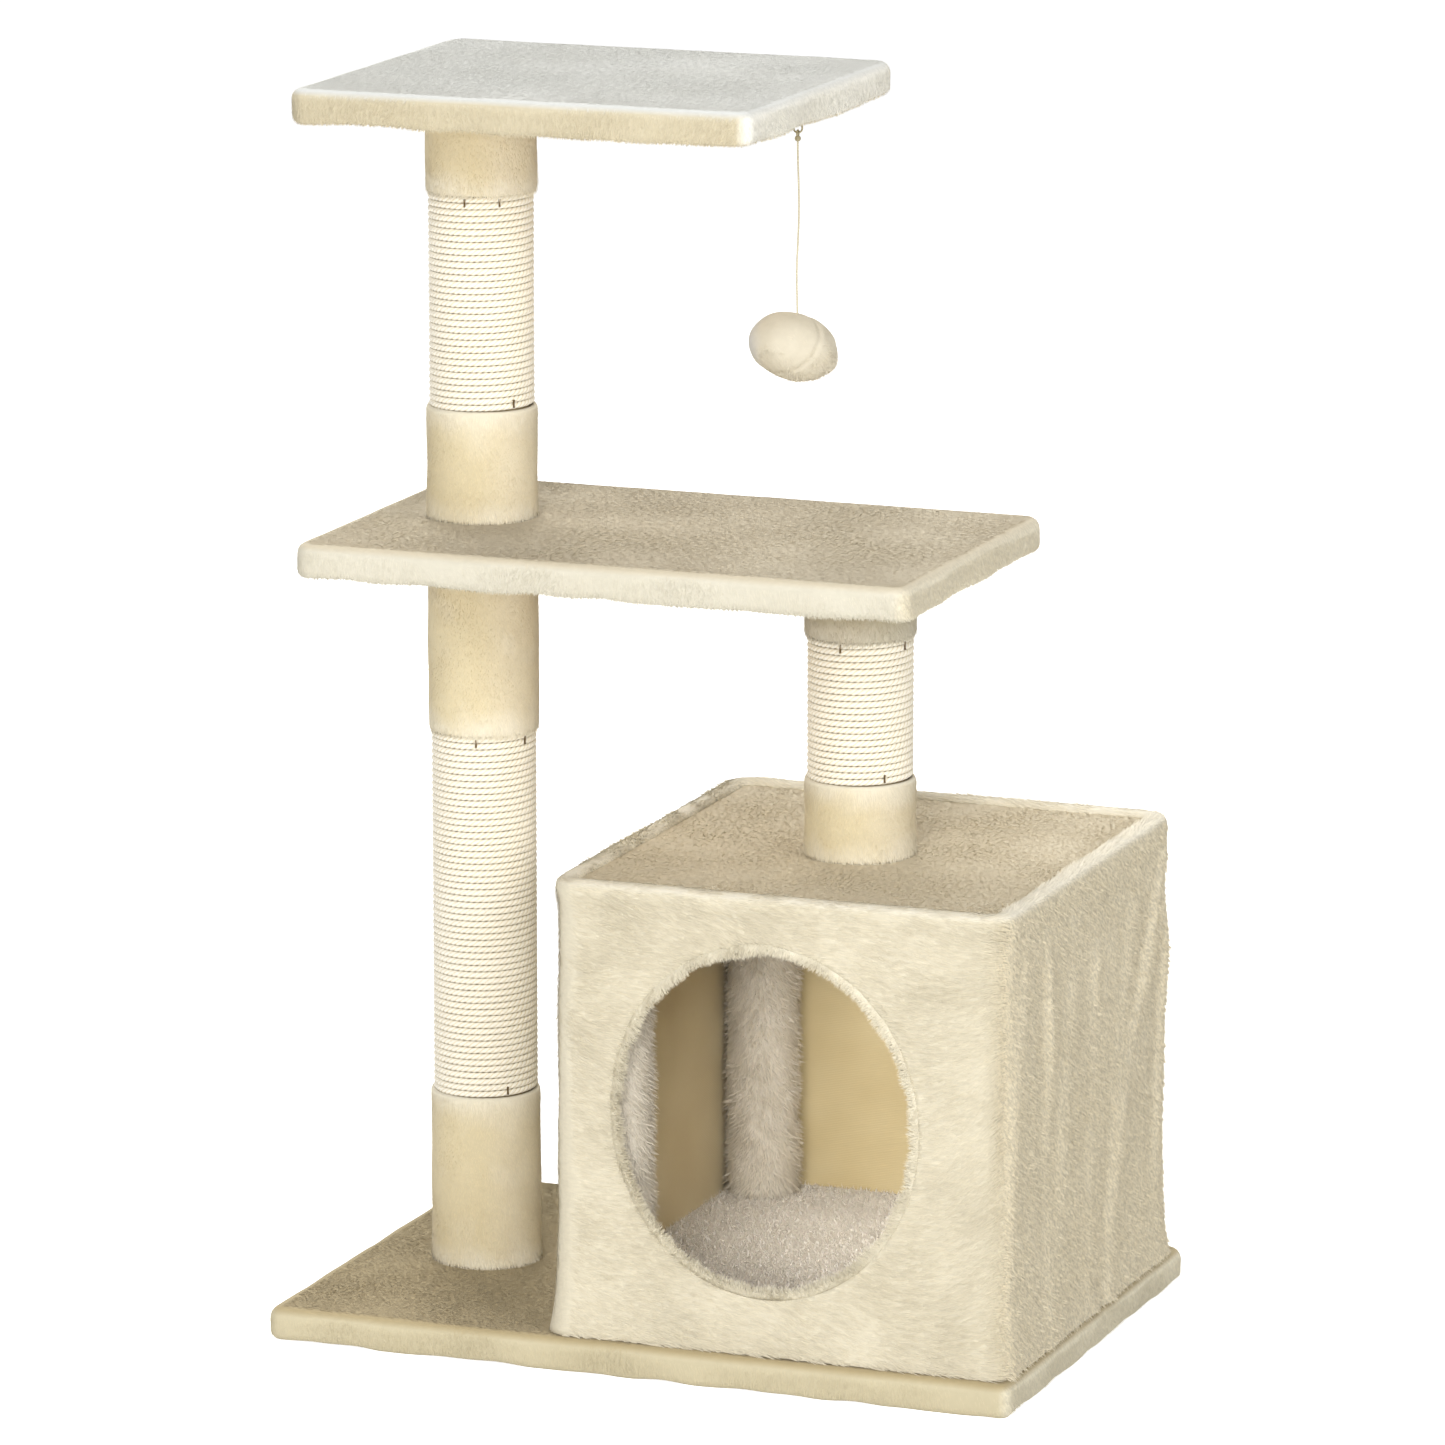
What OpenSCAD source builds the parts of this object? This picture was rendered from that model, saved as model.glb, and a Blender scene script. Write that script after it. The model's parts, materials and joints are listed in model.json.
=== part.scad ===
// Cat tree: a plush base, a den with a round entrance, two platforms, three
// scratching posts wound with rope, and a toy ball that hangs on a cord.
// Millimetres, Z up, front towards -Y. The origin is the middle of the base, on the floor.

/* [Base] */
// Width of the base, left to right
base_w = 500; // [480:5:560]
// Depth of the base, front to back
base_d = 350; // [345:5:420]

/* [Boards and plush] */
// Thickness of each chipboard
board_t = 15; // [12:1:18]
// Thickness of the plush that is glued round a board
pile_t = 3.5; // [3:0.5:4.5]
// Corner radius of a covered board
corner_r = 12; // [8:1:18]
// How far the plush is folded in under a board
hem = 22; // [16:1:22]

/* [Platforms] */
// Width of the middle platform
middle_w = 409; // [380:1:420]
// Width of the top platform
top_w = 306; // [300:1:320]
// Depth of both platforms
platform_d = 262; // [240:2:280]
// Height of the middle platform's deck above the floor
middle_deck = 516; // [500:1:560]
// Height of the top platform's deck above the floor
top_deck = 806; // [800:1:880]

/* [Den] */
// Width of the den over its plush wall
den_w = 306; // [300:1:312]
// Depth of the den over its plush wall
den_d = 328; // [320:1:330]
// Height of the den's roof above the floor
den_deck = 314.5; // [310:0.5:330]
// Clear radius of the round entrance
entrance_r = 107; // [80:1:108]
// Height of the entrance's centre
entrance_z = 172.5; // [165:0.5:180]

/* [Posts] */
// Outer radius of a scratching post's paper tube
tube_r = 30; // [28:0.5:32]
// Wall of a paper tube
tube_wall = 3; // [2:0.5:4]
// Outer radius of a scratching post's plush ends
plush_r = 36; // [35:0.5:38]
// Diameter of the sisal rope
rope_d = 4.2; // [3.8:0.1:4.4]
// Turns of rope on the long post, which carries the middle platform
long_turns = 57; // [40:1:58]
// Turns of rope on the upper post, which carries the top platform
upper_turns = 33; // [20:1:40]
// Turns of rope on the short post, which stands on the den
short_turns = 22; // [12:1:24]

/* [Toy] */
// Diameter of the toy's cord
cord_d = 1.4; // [1.2:0.1:1.6]
// Length of the toy ball, along its seam axis
ball_l = 58; // [50:1:60]
// Diameter of the toy ball, across its seam axis
ball_d = 43; // [40:1:46]

/* [Hidden] */
$fn = 64;
cut = 1; // how far a cutting shape reaches past the face that it cuts

plush = "#e3d5b5";
plush_light = "#eae0c8";
rope_colour = "#f3ecd6";
chipboard = "#b99a6b";
paper = "#cdb893";
lining_colour = "#d8c596";
steel = "silver";
poplar = "#dcc59a";

// A covered board, and the levels that follow from it
slab_t = board_t + 2 * pile_t;
floor_deck = 2 * slab_t;          // the den's floor lies on the base
middle_under = middle_deck - slab_t;
top_under = top_deck - slab_t;
roof_under = den_deck - slab_t;

// Places in plan
platform_left = -240.5;
platform_y = -14;
post_y = -12;
long_x = -167;
short_x = 92.5;
den_x = 93;
den_y = -2;
entrance_x = 85;
middle_x = platform_left + middle_w / 2;
top_x = platform_left + top_w / 2;

// The den's wall: plush outside, a card panel in a pocket, lining inside
wall_plush_t = 4;
panel_t = 3;
lining_t = 1;
wall_t = wall_plush_t + panel_t + lining_t;
pocket_end = 14;                  // from a panel's end to the den's corner
trim_t = 3;
wall_hole_r = entrance_r + trim_t;
wall_h = den_deck - slab_t;
room_w = den_w - 2 * wall_t;
room_d = den_d - 2 * wall_t;

// The den's own posts
den_tube_r = 20;
den_tube_wall = 2.5;
den_plush_r = 23;
den_post_dx = 120;
den_post_dy = 130;

// Fasteners: M8 bolts into threaded inserts
bolt_r = 3.9;
thread_r = 4;
clear_r = 4.25;
key_hole_r = 4;
head_r = 8;
head_t = 4;
socket_r = 2.9;
socket_depth = 2.5;
washer_r = 11;
washer_t = 1.5;
sink_r = 12;
sink_depth = head_t + washer_t;
insert_r = 5;
insert_l = 15;
plug_t = 18;
short_bolt_l = 30;
long_bolt_l = 52;
stud_bite = 14;

// Where the rope starts on each post
long_rope_z = 137;
upper_rope_z = 589;
short_rope_z = 365;

// The toy hangs from a wire staple under the middle of the top platform's right edge
toy_x = 50;
toy_y = -14;
wire_r = 0.6;
crown_l = 9;
crown_z = top_under - 4;
staple_leg_l = 12;
play = 0.3;                       // the gap between pieces that swing on each other
loop_r = 3;
loop_z = crown_z - (loop_r - 2 * wire_r - play);
eye_r = 1.8;
eye_z = loop_z - loop_r - (eye_r - 2 * wire_r - play);
knot_r = 2;
knot_z = eye_z - eye_r - knot_r + 0.4;
ball_x = toy_x - 3;
ball_z = 639;
ball_bore_r = cord_d / 2 + play;
ball_bore_z = 643;
ball_tilt = 15;
ball_turn = 21;

// The cord's route, from inside the knot down into the ball's bore
cord_route = [
    [50.0, -14.0, 771], [50.0, -14.0, 765], [50.2, -14.0, 757], [50.5, -14.1, 749],
    [50.8, -14.2, 741], [51.0, -14.3, 733], [51.0, -14.3, 725], [50.8, -14.2, 717],
    [50.4, -14.1, 709], [50.0, -14.0, 701], [49.6, -13.9, 693], [49.4, -13.9, 685],
    [49.5, -13.9, 677], [49.8, -14.0, 669], [50.0, -14.0, 661], [50.0, -14.0, 653],
    [50.0, -14.0, 646]
];

// ---- Shapes that repeat ----

// A rectangle with round corners, centred on [x, y]
module plate(x, y, w, d, r, h) {
    translate([x, y, 0])
    linear_extrude(h) {
        square([w - 2 * r, d], center = true);
        square([w, d - 2 * r], center = true);
        for (sx = [-1, 1], sy = [-1, 1])
            translate([sx * (w / 2 - r), sy * (d / 2 - r)]) circle(r);
    }
}

module drill(places, r, z0, z1) {
    for (p = places)
        translate([p[0], p[1], z0]) cylinder(r = r, h = z1 - z0);
}

// A chipboard whose covered slab stands on level z. Bolts in from_below and from_above are
// sunk in its faces, and studs go straight through.
module board(x, y, w, d, z, from_below = [], from_above = [], studs = []) {
    low = z + pile_t;
    high = low + board_t;
    color(chipboard)
    difference() {
        translate([0, 0, low]) plate(x, y, w - 2 * pile_t, d - 2 * pile_t, corner_r - pile_t, board_t);
        drill(concat(from_below, from_above, studs), clear_r, low - cut, high + cut);
        drill(from_below, sink_r, low - cut, low + sink_depth);
        drill(from_above, sink_r, high - sink_depth, high + cut);
    }
}

// The plush on that chipboard: over the top and the edges, and folded in underneath
module cover(x, y, w, d, z, holes) {
    color(plush)
    difference() {
        translate([0, 0, z]) plate(x, y, w, d, corner_r, slab_t);
        translate([0, 0, z + pile_t])
            plate(x, y, w - 2 * pile_t, d - 2 * pile_t, corner_r - pile_t, board_t);
        translate([0, 0, z - cut])
            plate(x, y, w - 2 * hem, d - 2 * hem, corner_r - pile_t, pile_t + 2 * cut);
        drill(holes, key_hole_r, z - cut, z + slab_t + cut);
    }
}

module ring(r_out, r_in, h) {
    difference() {
        cylinder(r = r_out, h = h);
        translate([0, 0, -cut]) cylinder(r = r_in, h = h + 2 * cut);
    }
}

module paper_tube(place, r, wall, z0, z1) {
    color(paper) translate([place[0], place[1], z0]) ring(r, r - wall, z1 - z0);
}

module plush_sleeve(place, r_in, r_out, z0, z1) {
    color(plush_light) translate([place[0], place[1], z0]) ring(r_out, r_in, z1 - z0);
}

// The wound rope: every turn is a rounded rib round the tube
module rope_winding(place, z0, turns) {
    crest = tube_r + rope_d;
    valley = tube_r + rope_d * 0.72;
    outline = concat(
        [[tube_r, 0]],
        [for (i = [0 : turns - 1]) each [
            [valley, i * rope_d],
            [crest, (i + 0.3) * rope_d],
            [crest, (i + 0.7) * rope_d]
        ]],
        [[valley, turns * rope_d], [tube_r, turns * rope_d]]
    );
    color(rope_colour)
    translate([place[0], place[1], z0]) rotate_extrude() polygon(outline);
}

// The wooden discs in both ends of a tube, bored for the inserts
module end_plugs(place, r, z0, z1) {
    color(poplar)
    for (z = [z0, z1 - plug_t])
        translate([place[0], place[1], z]) ring(r, insert_r, plug_t);
}

module inserts(place, z0, z1) {
    for (z = [z0, z1 - insert_l])
        translate([place[0], place[1], z]) ring(insert_r, thread_r, insert_l);
}

// An M8 bolt with its head's bearing face at z = 0 and its shank upwards
module bolt(l) {
    cylinder(r = bolt_r, h = l);
    translate([0, 0, -head_t])
    difference() {
        cylinder(r = head_r, h = head_t);
        translate([0, 0, -cut]) cylinder(r = socket_r, h = socket_depth + cut, $fn = 6);
    }
}

module bolts(places, z, l, up) {
    for (p = places)
        translate([p[0], p[1], z]) mirror([0, 0, up ? 0 : 1]) bolt(l);
}

module washers_at(places, z) {
    for (p = places)
        translate([p[0], p[1], z]) ring(washer_r, clear_r, washer_t);
}

// ---- The three scratching posts ----

long_post = [long_x, post_y];
short_post = [short_x, post_y];

// Each post: where it stands, its foot, its head, and its rope. The feet stand on plush,
// and the heads press on the bare chipboard inside the folded hem.
LONG = [long_post, slab_t, middle_under + pile_t, long_rope_z, long_turns];
UPPER = [long_post, middle_deck, top_under + pile_t, upper_rope_z, upper_turns];
SHORT = [short_post, den_deck, middle_under + pile_t, short_rope_z, short_turns];
POSTS = [LONG, UPPER, SHORT];

// Each post's staples: the angles of the two upper ones, then of the lower one
STAPLES = [[[-76, -17], -43], [[-85, -47], -31], [[-92, -15], -43]];

function rope_top(post) = post[3] + post[4] * rope_d;

module post_tube(post) paper_tube(post[0], tube_r, tube_wall, post[1], post[2]);
module post_lower_plush(post) plush_sleeve(post[0], tube_r, plush_r, post[1], post[3]);
module post_upper_plush(post) plush_sleeve(post[0], tube_r, plush_r, rope_top(post), post[2]);
module post_rope(post) rope_winding(post[0], post[3], post[4]);

module post_end_plugs() {
    for (post = POSTS)
        end_plugs(post[0], tube_r - tube_wall, post[1], post[2]);
}

// ---- The den ----

den_posts = [
    [den_x - den_post_dx, den_y - den_post_dy], [den_x + den_post_dx, den_y - den_post_dy],
    [den_x - den_post_dx, den_y + den_post_dy], [den_x + den_post_dx, den_y + den_post_dy]
];

module den_post_tube(i) paper_tube(den_posts[i], den_tube_r, den_tube_wall, floor_deck, roof_under);
module den_post_plush(i) plush_sleeve(den_posts[i], den_tube_r, den_plush_r, floor_deck, roof_under);

module den_post_end_plugs() {
    for (p = den_posts)
        end_plugs(p, den_tube_r - den_tube_wall, floor_deck, roof_under);
}

module entrance_cut(r) {
    translate([entrance_x, den_y - den_d / 2 - 3 * cut, entrance_z])
        rotate([-90, 0, 0]) cylinder(r = r, h = wall_t + 6 * cut, $fn = 128);
}

// One layer of the den's wall, from inset a to inset b behind the outer face
module wall_layer(a, b) {
    translate([0, 0, slab_t])
    difference() {
        plate(den_x, den_y, den_w - 2 * a, den_d - 2 * a, corner_r + 6 - a, wall_h);
        translate([0, 0, -cut])
            plate(den_x, den_y, den_w - 2 * b, den_d - 2 * b, corner_r + 6 - b, wall_h + 2 * cut);
    }
}

// A card panel, w long and centred on [x, y]; turned panels stand along Y
module card_panel(x, y, w, turned) {
    size = turned ? [panel_t, w, wall_h] : [w, panel_t, wall_h];
    translate([x - size[0] / 2, y - size[1] / 2, slab_t]) cube(size);
}

panel_inset = wall_plush_t + panel_t / 2;
front_y = den_y - den_d / 2 + panel_inset;
back_y = den_y + den_d / 2 - panel_inset;
left_x = den_x - den_w / 2 + panel_inset;
right_x = den_x + den_w / 2 - panel_inset;
long_panel = den_d - 2 * wall_plush_t - 2 * pocket_end;
wide_panel = den_w - 2 * wall_plush_t - 2 * pocket_end;

module all_panels() {
    card_panel(den_x, front_y, wide_panel, false);
    card_panel(den_x, back_y, wide_panel, false);
    card_panel(left_x, den_y, long_panel, true);
    card_panel(right_x, den_y, long_panel, true);
}

module front_wall_panel() {
    color(paper)
    difference() {
        card_panel(den_x, front_y, wide_panel, false);
        entrance_cut(wall_hole_r);
    }
}

module den_lining() {
    color(lining_colour)
    difference() {
        wall_layer(wall_plush_t, wall_t);
        all_panels();
        entrance_cut(wall_hole_r);
    }
}

module den_plush_wall() {
    color(plush)
    difference() {
        wall_layer(0, wall_plush_t);
        entrance_cut(wall_hole_r);
    }
}

module entrance_trim() {
    color(plush_light)
    translate([entrance_x, den_y - den_d / 2, entrance_z])
        rotate([-90, 0, 0]) ring(wall_hole_r, entrance_r, wall_t, $fn = 128);
}

// The slabs of the den fit inside its wall
module den_board(z, from_below = [], from_above = [], studs = [])
    board(den_x, den_y, room_w, room_d, z, from_below, from_above, studs);
module den_cover(z, holes) cover(den_x, den_y, room_w, room_d, z, holes);

// ---- Fasteners ----

base_sink = pile_t + sink_depth;         // bearing level of the bolts in the base
roof_low = roof_under + pile_t + sink_depth;
roof_high = den_deck - pile_t - sink_depth;
middle_high = middle_deck - pile_t - sink_depth;
top_high = top_deck - pile_t - sink_depth;

module short_bolts() {
    color(steel) {
        bolts([long_post], base_sink - washer_t, short_bolt_l, true);
        bolts([short_post], roof_low - washer_t, short_bolt_l, true);
        bolts([short_post], middle_high + washer_t, short_bolt_l, false);
        bolts([long_post], top_high + washer_t, short_bolt_l, false);
        bolts(den_posts, roof_high + washer_t, short_bolt_l, false);
    }
}

module long_bolts() {
    color(steel) bolts(den_posts, base_sink - washer_t, long_bolt_l, true);
}

module washers() {
    color(steel) {
        washers_at(concat([long_post], den_posts), base_sink - washer_t);
        washers_at([short_post], roof_low - washer_t);
        washers_at([short_post], middle_high);
        washers_at([long_post], top_high);
        washers_at(den_posts, roof_high);
    }
}

module insert_nuts() {
    color("goldenrod") {
        for (post = POSTS)
            inserts(post[0], post[1], post[2]);
        for (p = den_posts)
            inserts(p, floor_deck, roof_under);
    }
}

module joining_stud() {
    color(steel)
    translate([long_x, post_y, middle_under - stud_bite])
        cylinder(r = bolt_r, h = slab_t + 2 * stud_bite);
}

// A staple over one end of the rope: its crown lies on the rope, its legs are in the tube
module rope_staple(place, z, turn) {
    leg = rope_d + tube_wall / 2;
    translate([place[0], place[1], z])
    rotate([0, 0, turn])
    for (s = [-1, 1])
        translate([tube_r + rope_d - leg, 0, s * rope_d * 0.5])
            rotate([0, 90, 0]) cylinder(r = wire_r, h = leg + wire_r);
    translate([place[0], place[1], z])
    rotate([0, 0, turn])
    translate([tube_r + rope_d, 0, -rope_d * 0.5]) cylinder(r = wire_r, h = rope_d);
}

module rope_staples() {
    color(steel)
    for (i = [0 : len(POSTS) - 1]) {
        for (turn = STAPLES[i][0])
            rope_staple(POSTS[i][0], rope_top(POSTS[i]) - rope_d, turn);
        rope_staple(POSTS[i][0], POSTS[i][3] + rope_d, STAPLES[i][1]);
    }
}

// ---- The toy ----

module toy_staple() {
    color(steel)
    translate([toy_x, toy_y, crown_z]) {
        translate([0, -crown_l / 2 - wire_r, 0])
            rotate([-90, 0, 0]) cylinder(r = wire_r, h = crown_l + 2 * wire_r);
        for (s = [-1, 1])
            translate([0, s * crown_l / 2, 0]) cylinder(r = wire_r, h = staple_leg_l);
    }
}

module cord_ring(r) rotate_extrude() translate([r, 0]) circle(wire_r, $fn = 24);

module toy_loop() {
    color(plush_light) translate([toy_x, toy_y, loop_z]) rotate([90, 0, 0]) cord_ring(loop_r);
}

module toy_knot() {
    color(plush_light)
    translate([toy_x, toy_y, 0]) {
        translate([0, 0, eye_z]) rotate([0, 90, 0]) cord_ring(eye_r);
        translate([0, 0, knot_z]) sphere(knot_r);
    }
}

function bend(a, b, c, d, t) = 0.5 * (2 * b + (c - a) * t + (2 * a - 5 * b + 4 * c - d) * t * t
    + (3 * b - a - 3 * c + d) * t * t * t);
function at(points, i) = points[min(max(i, 0), len(points) - 1)];
// The route with a point halfway between each two, on one smooth curve
function smooth(points) = [for (i = [0 : 2 * len(points) - 2])
    let (k = floor(i / 2))
    bend(at(points, k - 1), at(points, k), at(points, k + 1), at(points, k + 2), i % 2 / 2)];

// A tube of 8 sides along a route that runs near to vertical
module cord_tube(points, r) {
    sides = 8;
    rings = len(points);
    corners = [for (p = points, k = [0 : sides - 1])
        p + r * [cos(360 * k / sides), sin(360 * k / sides), 0]];
    walls = [for (i = [0 : rings - 2], k = [0 : sides - 1])
        let (m = (k + 1) % sides)
        [i * sides + k, i * sides + m, (i + 1) * sides + m, (i + 1) * sides + k]];
    ends = [
        [for (k = [sides - 1 : -1 : 0]) k],
        [for (k = [0 : sides - 1]) (rings - 1) * sides + k]
    ];
    polyhedron(corners, concat(walls, ends));
}

module toy_cord() {
    color(rope_colour) cord_tube(smooth(cord_route), cord_d / 2);
}

// Half of an ellipse, turned round its long axis, with an upright bore for the cord's end
module toy_ball() {
    steps = 24;
    outline = [for (i = [0 : steps])
        let (a = 180 * i / steps - 90)
        [i == 0 || i == steps ? 0 : ball_d / 2 * cos(a), ball_l / 2 * sin(a)]];
    color(plush_light)
    difference() {
        translate([ball_x, toy_y, ball_z])
            rotate([0, 90 + ball_tilt, ball_turn]) rotate_extrude() polygon(outline);
        translate([toy_x, toy_y, ball_bore_z]) cylinder(r = ball_bore_r, h = ball_d);
    }
}

// ---- The nodes ----

board(0, 0, base_w, base_d, 0, from_below = concat([long_post], den_posts));  // base_board
cover(0, 0, base_w, base_d, 0, concat([long_post], den_posts));  // base_cover
post_tube(LONG);  // long_post_tube
post_lower_plush(LONG);  // long_post_lower_plush
post_rope(LONG);  // long_post_rope
post_upper_plush(LONG);  // long_post_upper_plush
post_tube(UPPER);  // upper_post_tube
post_lower_plush(UPPER);  // upper_post_lower_plush
post_rope(UPPER);  // upper_post_rope
post_upper_plush(UPPER);  // upper_post_upper_plush
post_tube(SHORT);  // short_post_tube
post_lower_plush(SHORT);  // short_post_lower_plush
post_rope(SHORT);  // short_post_rope
post_upper_plush(SHORT);  // short_post_upper_plush
post_end_plugs();
board(middle_x, platform_y, middle_w, platform_d, middle_under,  // middle_platform_board
        from_above = [short_post], studs = [long_post]);
cover(middle_x, platform_y, middle_w, platform_d, middle_under, [short_post, long_post]);  // middle_platform_cover
board(top_x, platform_y, top_w, platform_d, top_under, from_above = [long_post]);  // top_platform_board
cover(top_x, platform_y, top_w, platform_d, top_under, [long_post]);  // top_platform_cover
den_board(slab_t, studs = den_posts);  // den_floor_board
den_cover(slab_t, den_posts);  // den_floor_cover
den_board(roof_under, from_below = [short_post], from_above = den_posts);  // den_roof_board
den_cover(roof_under, concat([short_post], den_posts));  // den_roof_cover
front_wall_panel();
color(paper) card_panel(den_x, back_y, wide_panel, false);  // back_wall_panel
color(paper) card_panel(left_x, den_y, long_panel, true);  // left_wall_panel
color(paper) card_panel(right_x, den_y, long_panel, true);  // right_wall_panel
den_lining();
den_plush_wall();
entrance_trim();
den_post_tube(0);  // den_post_tube_front_left
den_post_tube(1);  // den_post_tube_front_right
den_post_tube(2);  // den_post_tube_back_left
den_post_tube(3);  // den_post_tube_back_right
den_post_plush(0);  // den_post_plush_front_left
den_post_plush(1);  // den_post_plush_front_right
den_post_plush(2);  // den_post_plush_back_left
den_post_plush(3);  // den_post_plush_back_right
den_post_end_plugs();
insert_nuts();
short_bolts();
long_bolts();
washers();
joining_stud();
rope_staples();
toy_staple();
toy_loop();
toy_knot();
toy_cord();
toy_ball();
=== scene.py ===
# %% [markdown]
# # A cat tree of chipboard, plush and sisal
# A cat tree is a stack of chipboards in glued-on faux fur, held apart by paper tubes. The tubes
# are wound with sisal rope where a cat scratches, and sleeved in the same fur at their ends.
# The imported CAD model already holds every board, tube, bolt and joint at its real size, so this
# lesson only makes what CAD can't: pile, rope lay, drape, seams and finishes.

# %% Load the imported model
import json
import math

import bpy
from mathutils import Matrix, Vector, noise


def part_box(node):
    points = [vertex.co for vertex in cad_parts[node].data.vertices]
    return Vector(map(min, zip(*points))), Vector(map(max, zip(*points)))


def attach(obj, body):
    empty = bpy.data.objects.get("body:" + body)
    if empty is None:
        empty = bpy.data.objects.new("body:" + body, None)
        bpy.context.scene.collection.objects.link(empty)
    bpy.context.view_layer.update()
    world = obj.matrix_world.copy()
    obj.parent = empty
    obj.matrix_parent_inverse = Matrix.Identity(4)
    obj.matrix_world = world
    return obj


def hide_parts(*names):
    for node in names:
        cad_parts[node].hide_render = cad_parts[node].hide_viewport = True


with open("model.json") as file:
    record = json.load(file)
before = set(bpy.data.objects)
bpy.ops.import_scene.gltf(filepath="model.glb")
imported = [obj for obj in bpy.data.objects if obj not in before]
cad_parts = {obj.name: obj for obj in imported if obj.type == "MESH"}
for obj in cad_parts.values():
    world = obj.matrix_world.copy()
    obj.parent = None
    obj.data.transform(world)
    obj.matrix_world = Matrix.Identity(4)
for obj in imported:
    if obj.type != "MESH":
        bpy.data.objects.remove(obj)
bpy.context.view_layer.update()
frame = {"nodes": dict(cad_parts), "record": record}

MM = 0.001

# %% [markdown]
# ## Small tools
# Everything below leans on a few helpers. Colours are written as the hex values that a paint
# card would give, and turned to the linear numbers that shaders need. `add` puts one node in a
# tree with its settings and links, so that a material or a Geometry Nodes tree reads as a list.

# %% Colours, nodes and inputs


def linear(hex_colour):
    """An sRGB hex colour as the linear RGBA that shaders work in."""
    parts = [int(hex_colour[i:i + 2], 16) / 255 for i in (1, 3, 5)]
    curve = [c / 12.92 if c <= 0.04045 else ((c + 0.055) / 1.055) ** 2.4 for c in parts]
    return (*curve, 1.0)


def add(tree, kind, settings=None, **inputs):
    """One node, with its properties set and its sockets filled by values or by other sockets."""
    node = tree.nodes.new(kind)
    for name, value in (settings or {}).items():
        setattr(node, name, value)
    for name, value in inputs.items():
        key = int(name[1:]) if name[0] == "n" and name[1:].isdigit() else name.replace("_", " ")
        socket = node.inputs[key]
        if isinstance(value, bpy.types.NodeSocket):
            tree.links.new(value, socket)
        else:
            socket.default_value = value
    return node


def ramp(tree, factor, stops):
    """A colour ramp from (place, hex colour) stops."""
    node = add(tree, "ShaderNodeValToRGB", Fac=factor)
    places = node.color_ramp.elements
    while len(places) < len(stops):
        places.new(0.5)
    for element, (place, hex_colour) in zip(places, stops):
        element.position = place
        element.color = linear(hex_colour)
    return node.outputs["Color"]


def new_material(name):
    """An empty material: its tree and its shader, ready for nodes."""
    material = bpy.data.materials.new(name)
    material.use_nodes = True
    return material, material.node_tree, material.node_tree.nodes["Principled BSDF"]


def input_names(tree):
    """The identifiers of a Geometry Nodes tree's inputs, by their readable names."""
    return {item.name: item.identifier for item in tree.interface.items_tree
            if item.item_type == "SOCKET" and item.in_out == "INPUT"}


def grow(source, tree, name, **values):
    """Runs a Geometry Nodes tree on an object and keeps the result as a new plain mesh object."""
    modifier = source.modifiers.new("grow", "NODES")
    modifier.node_group = tree
    keys = input_names(tree)
    for label, value in values.items():
        modifier[keys[label.replace("_", " ")]] = value
    bpy.context.view_layer.update()
    depsgraph = bpy.context.evaluated_depsgraph_get()
    mesh = bpy.data.meshes.new_from_object(source.evaluated_get(depsgraph))
    source.modifiers.remove(modifier)
    mesh.name = name
    grown = bpy.data.objects.new(name, mesh)
    bpy.context.collection.objects.link(grown)
    return grown


def tree_with(name, **sockets):
    """A new Geometry Nodes tree with a geometry in and out, and the named inputs."""
    tree = bpy.data.node_groups.new(name, "GeometryNodeTree")
    tree.interface.new_socket("Geometry", in_out="INPUT", socket_type="NodeSocketGeometry")
    tree.interface.new_socket("Geometry", in_out="OUTPUT", socket_type="NodeSocketGeometry")
    for label, (kind, value) in sockets.items():
        socket = tree.interface.new_socket(label.replace("_", " "), in_out="INPUT",
                                           socket_type="NodeSocket" + kind)
        if value is not None:
            socket.default_value = value
    return tree, add(tree, "NodeGroupInput").outputs, add(tree, "NodeGroupOutput").inputs


print("tools ready")

# %% [markdown]
# ## The camera and the cord come first
# The camera stands to the right of the front, a little above the tree, and far away with a long
# lens, so that upright edges stay upright. The toy's cord hangs under the top platform. Its route
# is the CAD route, point for point, because a hanging cord has one length and it can't stretch.

# %% The camera
AZIMUTH = math.radians(21.1)
ELEVATION = math.radians(12.13)
camera_data = bpy.data.cameras.new("camera")
camera_data.lens = 215.24
camera_data.sensor_width = 36
camera_data.clip_end = 100
camera = bpy.data.objects.new("camera", camera_data)
back = Vector((math.sin(AZIMUTH) * math.cos(ELEVATION), -math.cos(AZIMUTH) * math.cos(ELEVATION),
               math.sin(ELEVATION)))
camera.location = (1.94487, -5.05614, 1.55395)
camera.rotation_mode = "QUATERNION"
camera.rotation_quaternion = (-back).to_track_quat("-Z", "Y")
bpy.context.collection.objects.link(camera)
bpy.context.scene.camera = camera
print("camera at", tuple(round(v, 2) for v in camera.location))

# %% [markdown]
# ## Laid rope
# Rope is laid: three strands lie side by side and turn round each other. Modelling each strand
# costs three tubes. A cheaper way gives the same surface: one tube with a three-lobed section
# that turns as it goes. Geometry Nodes resample a path, tilt each point by its distance along the
# path, and sweep the lobed profile. The same tree lays the 4.2 mm sisal and the thin toy cord.

# %% The rope tree


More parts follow.
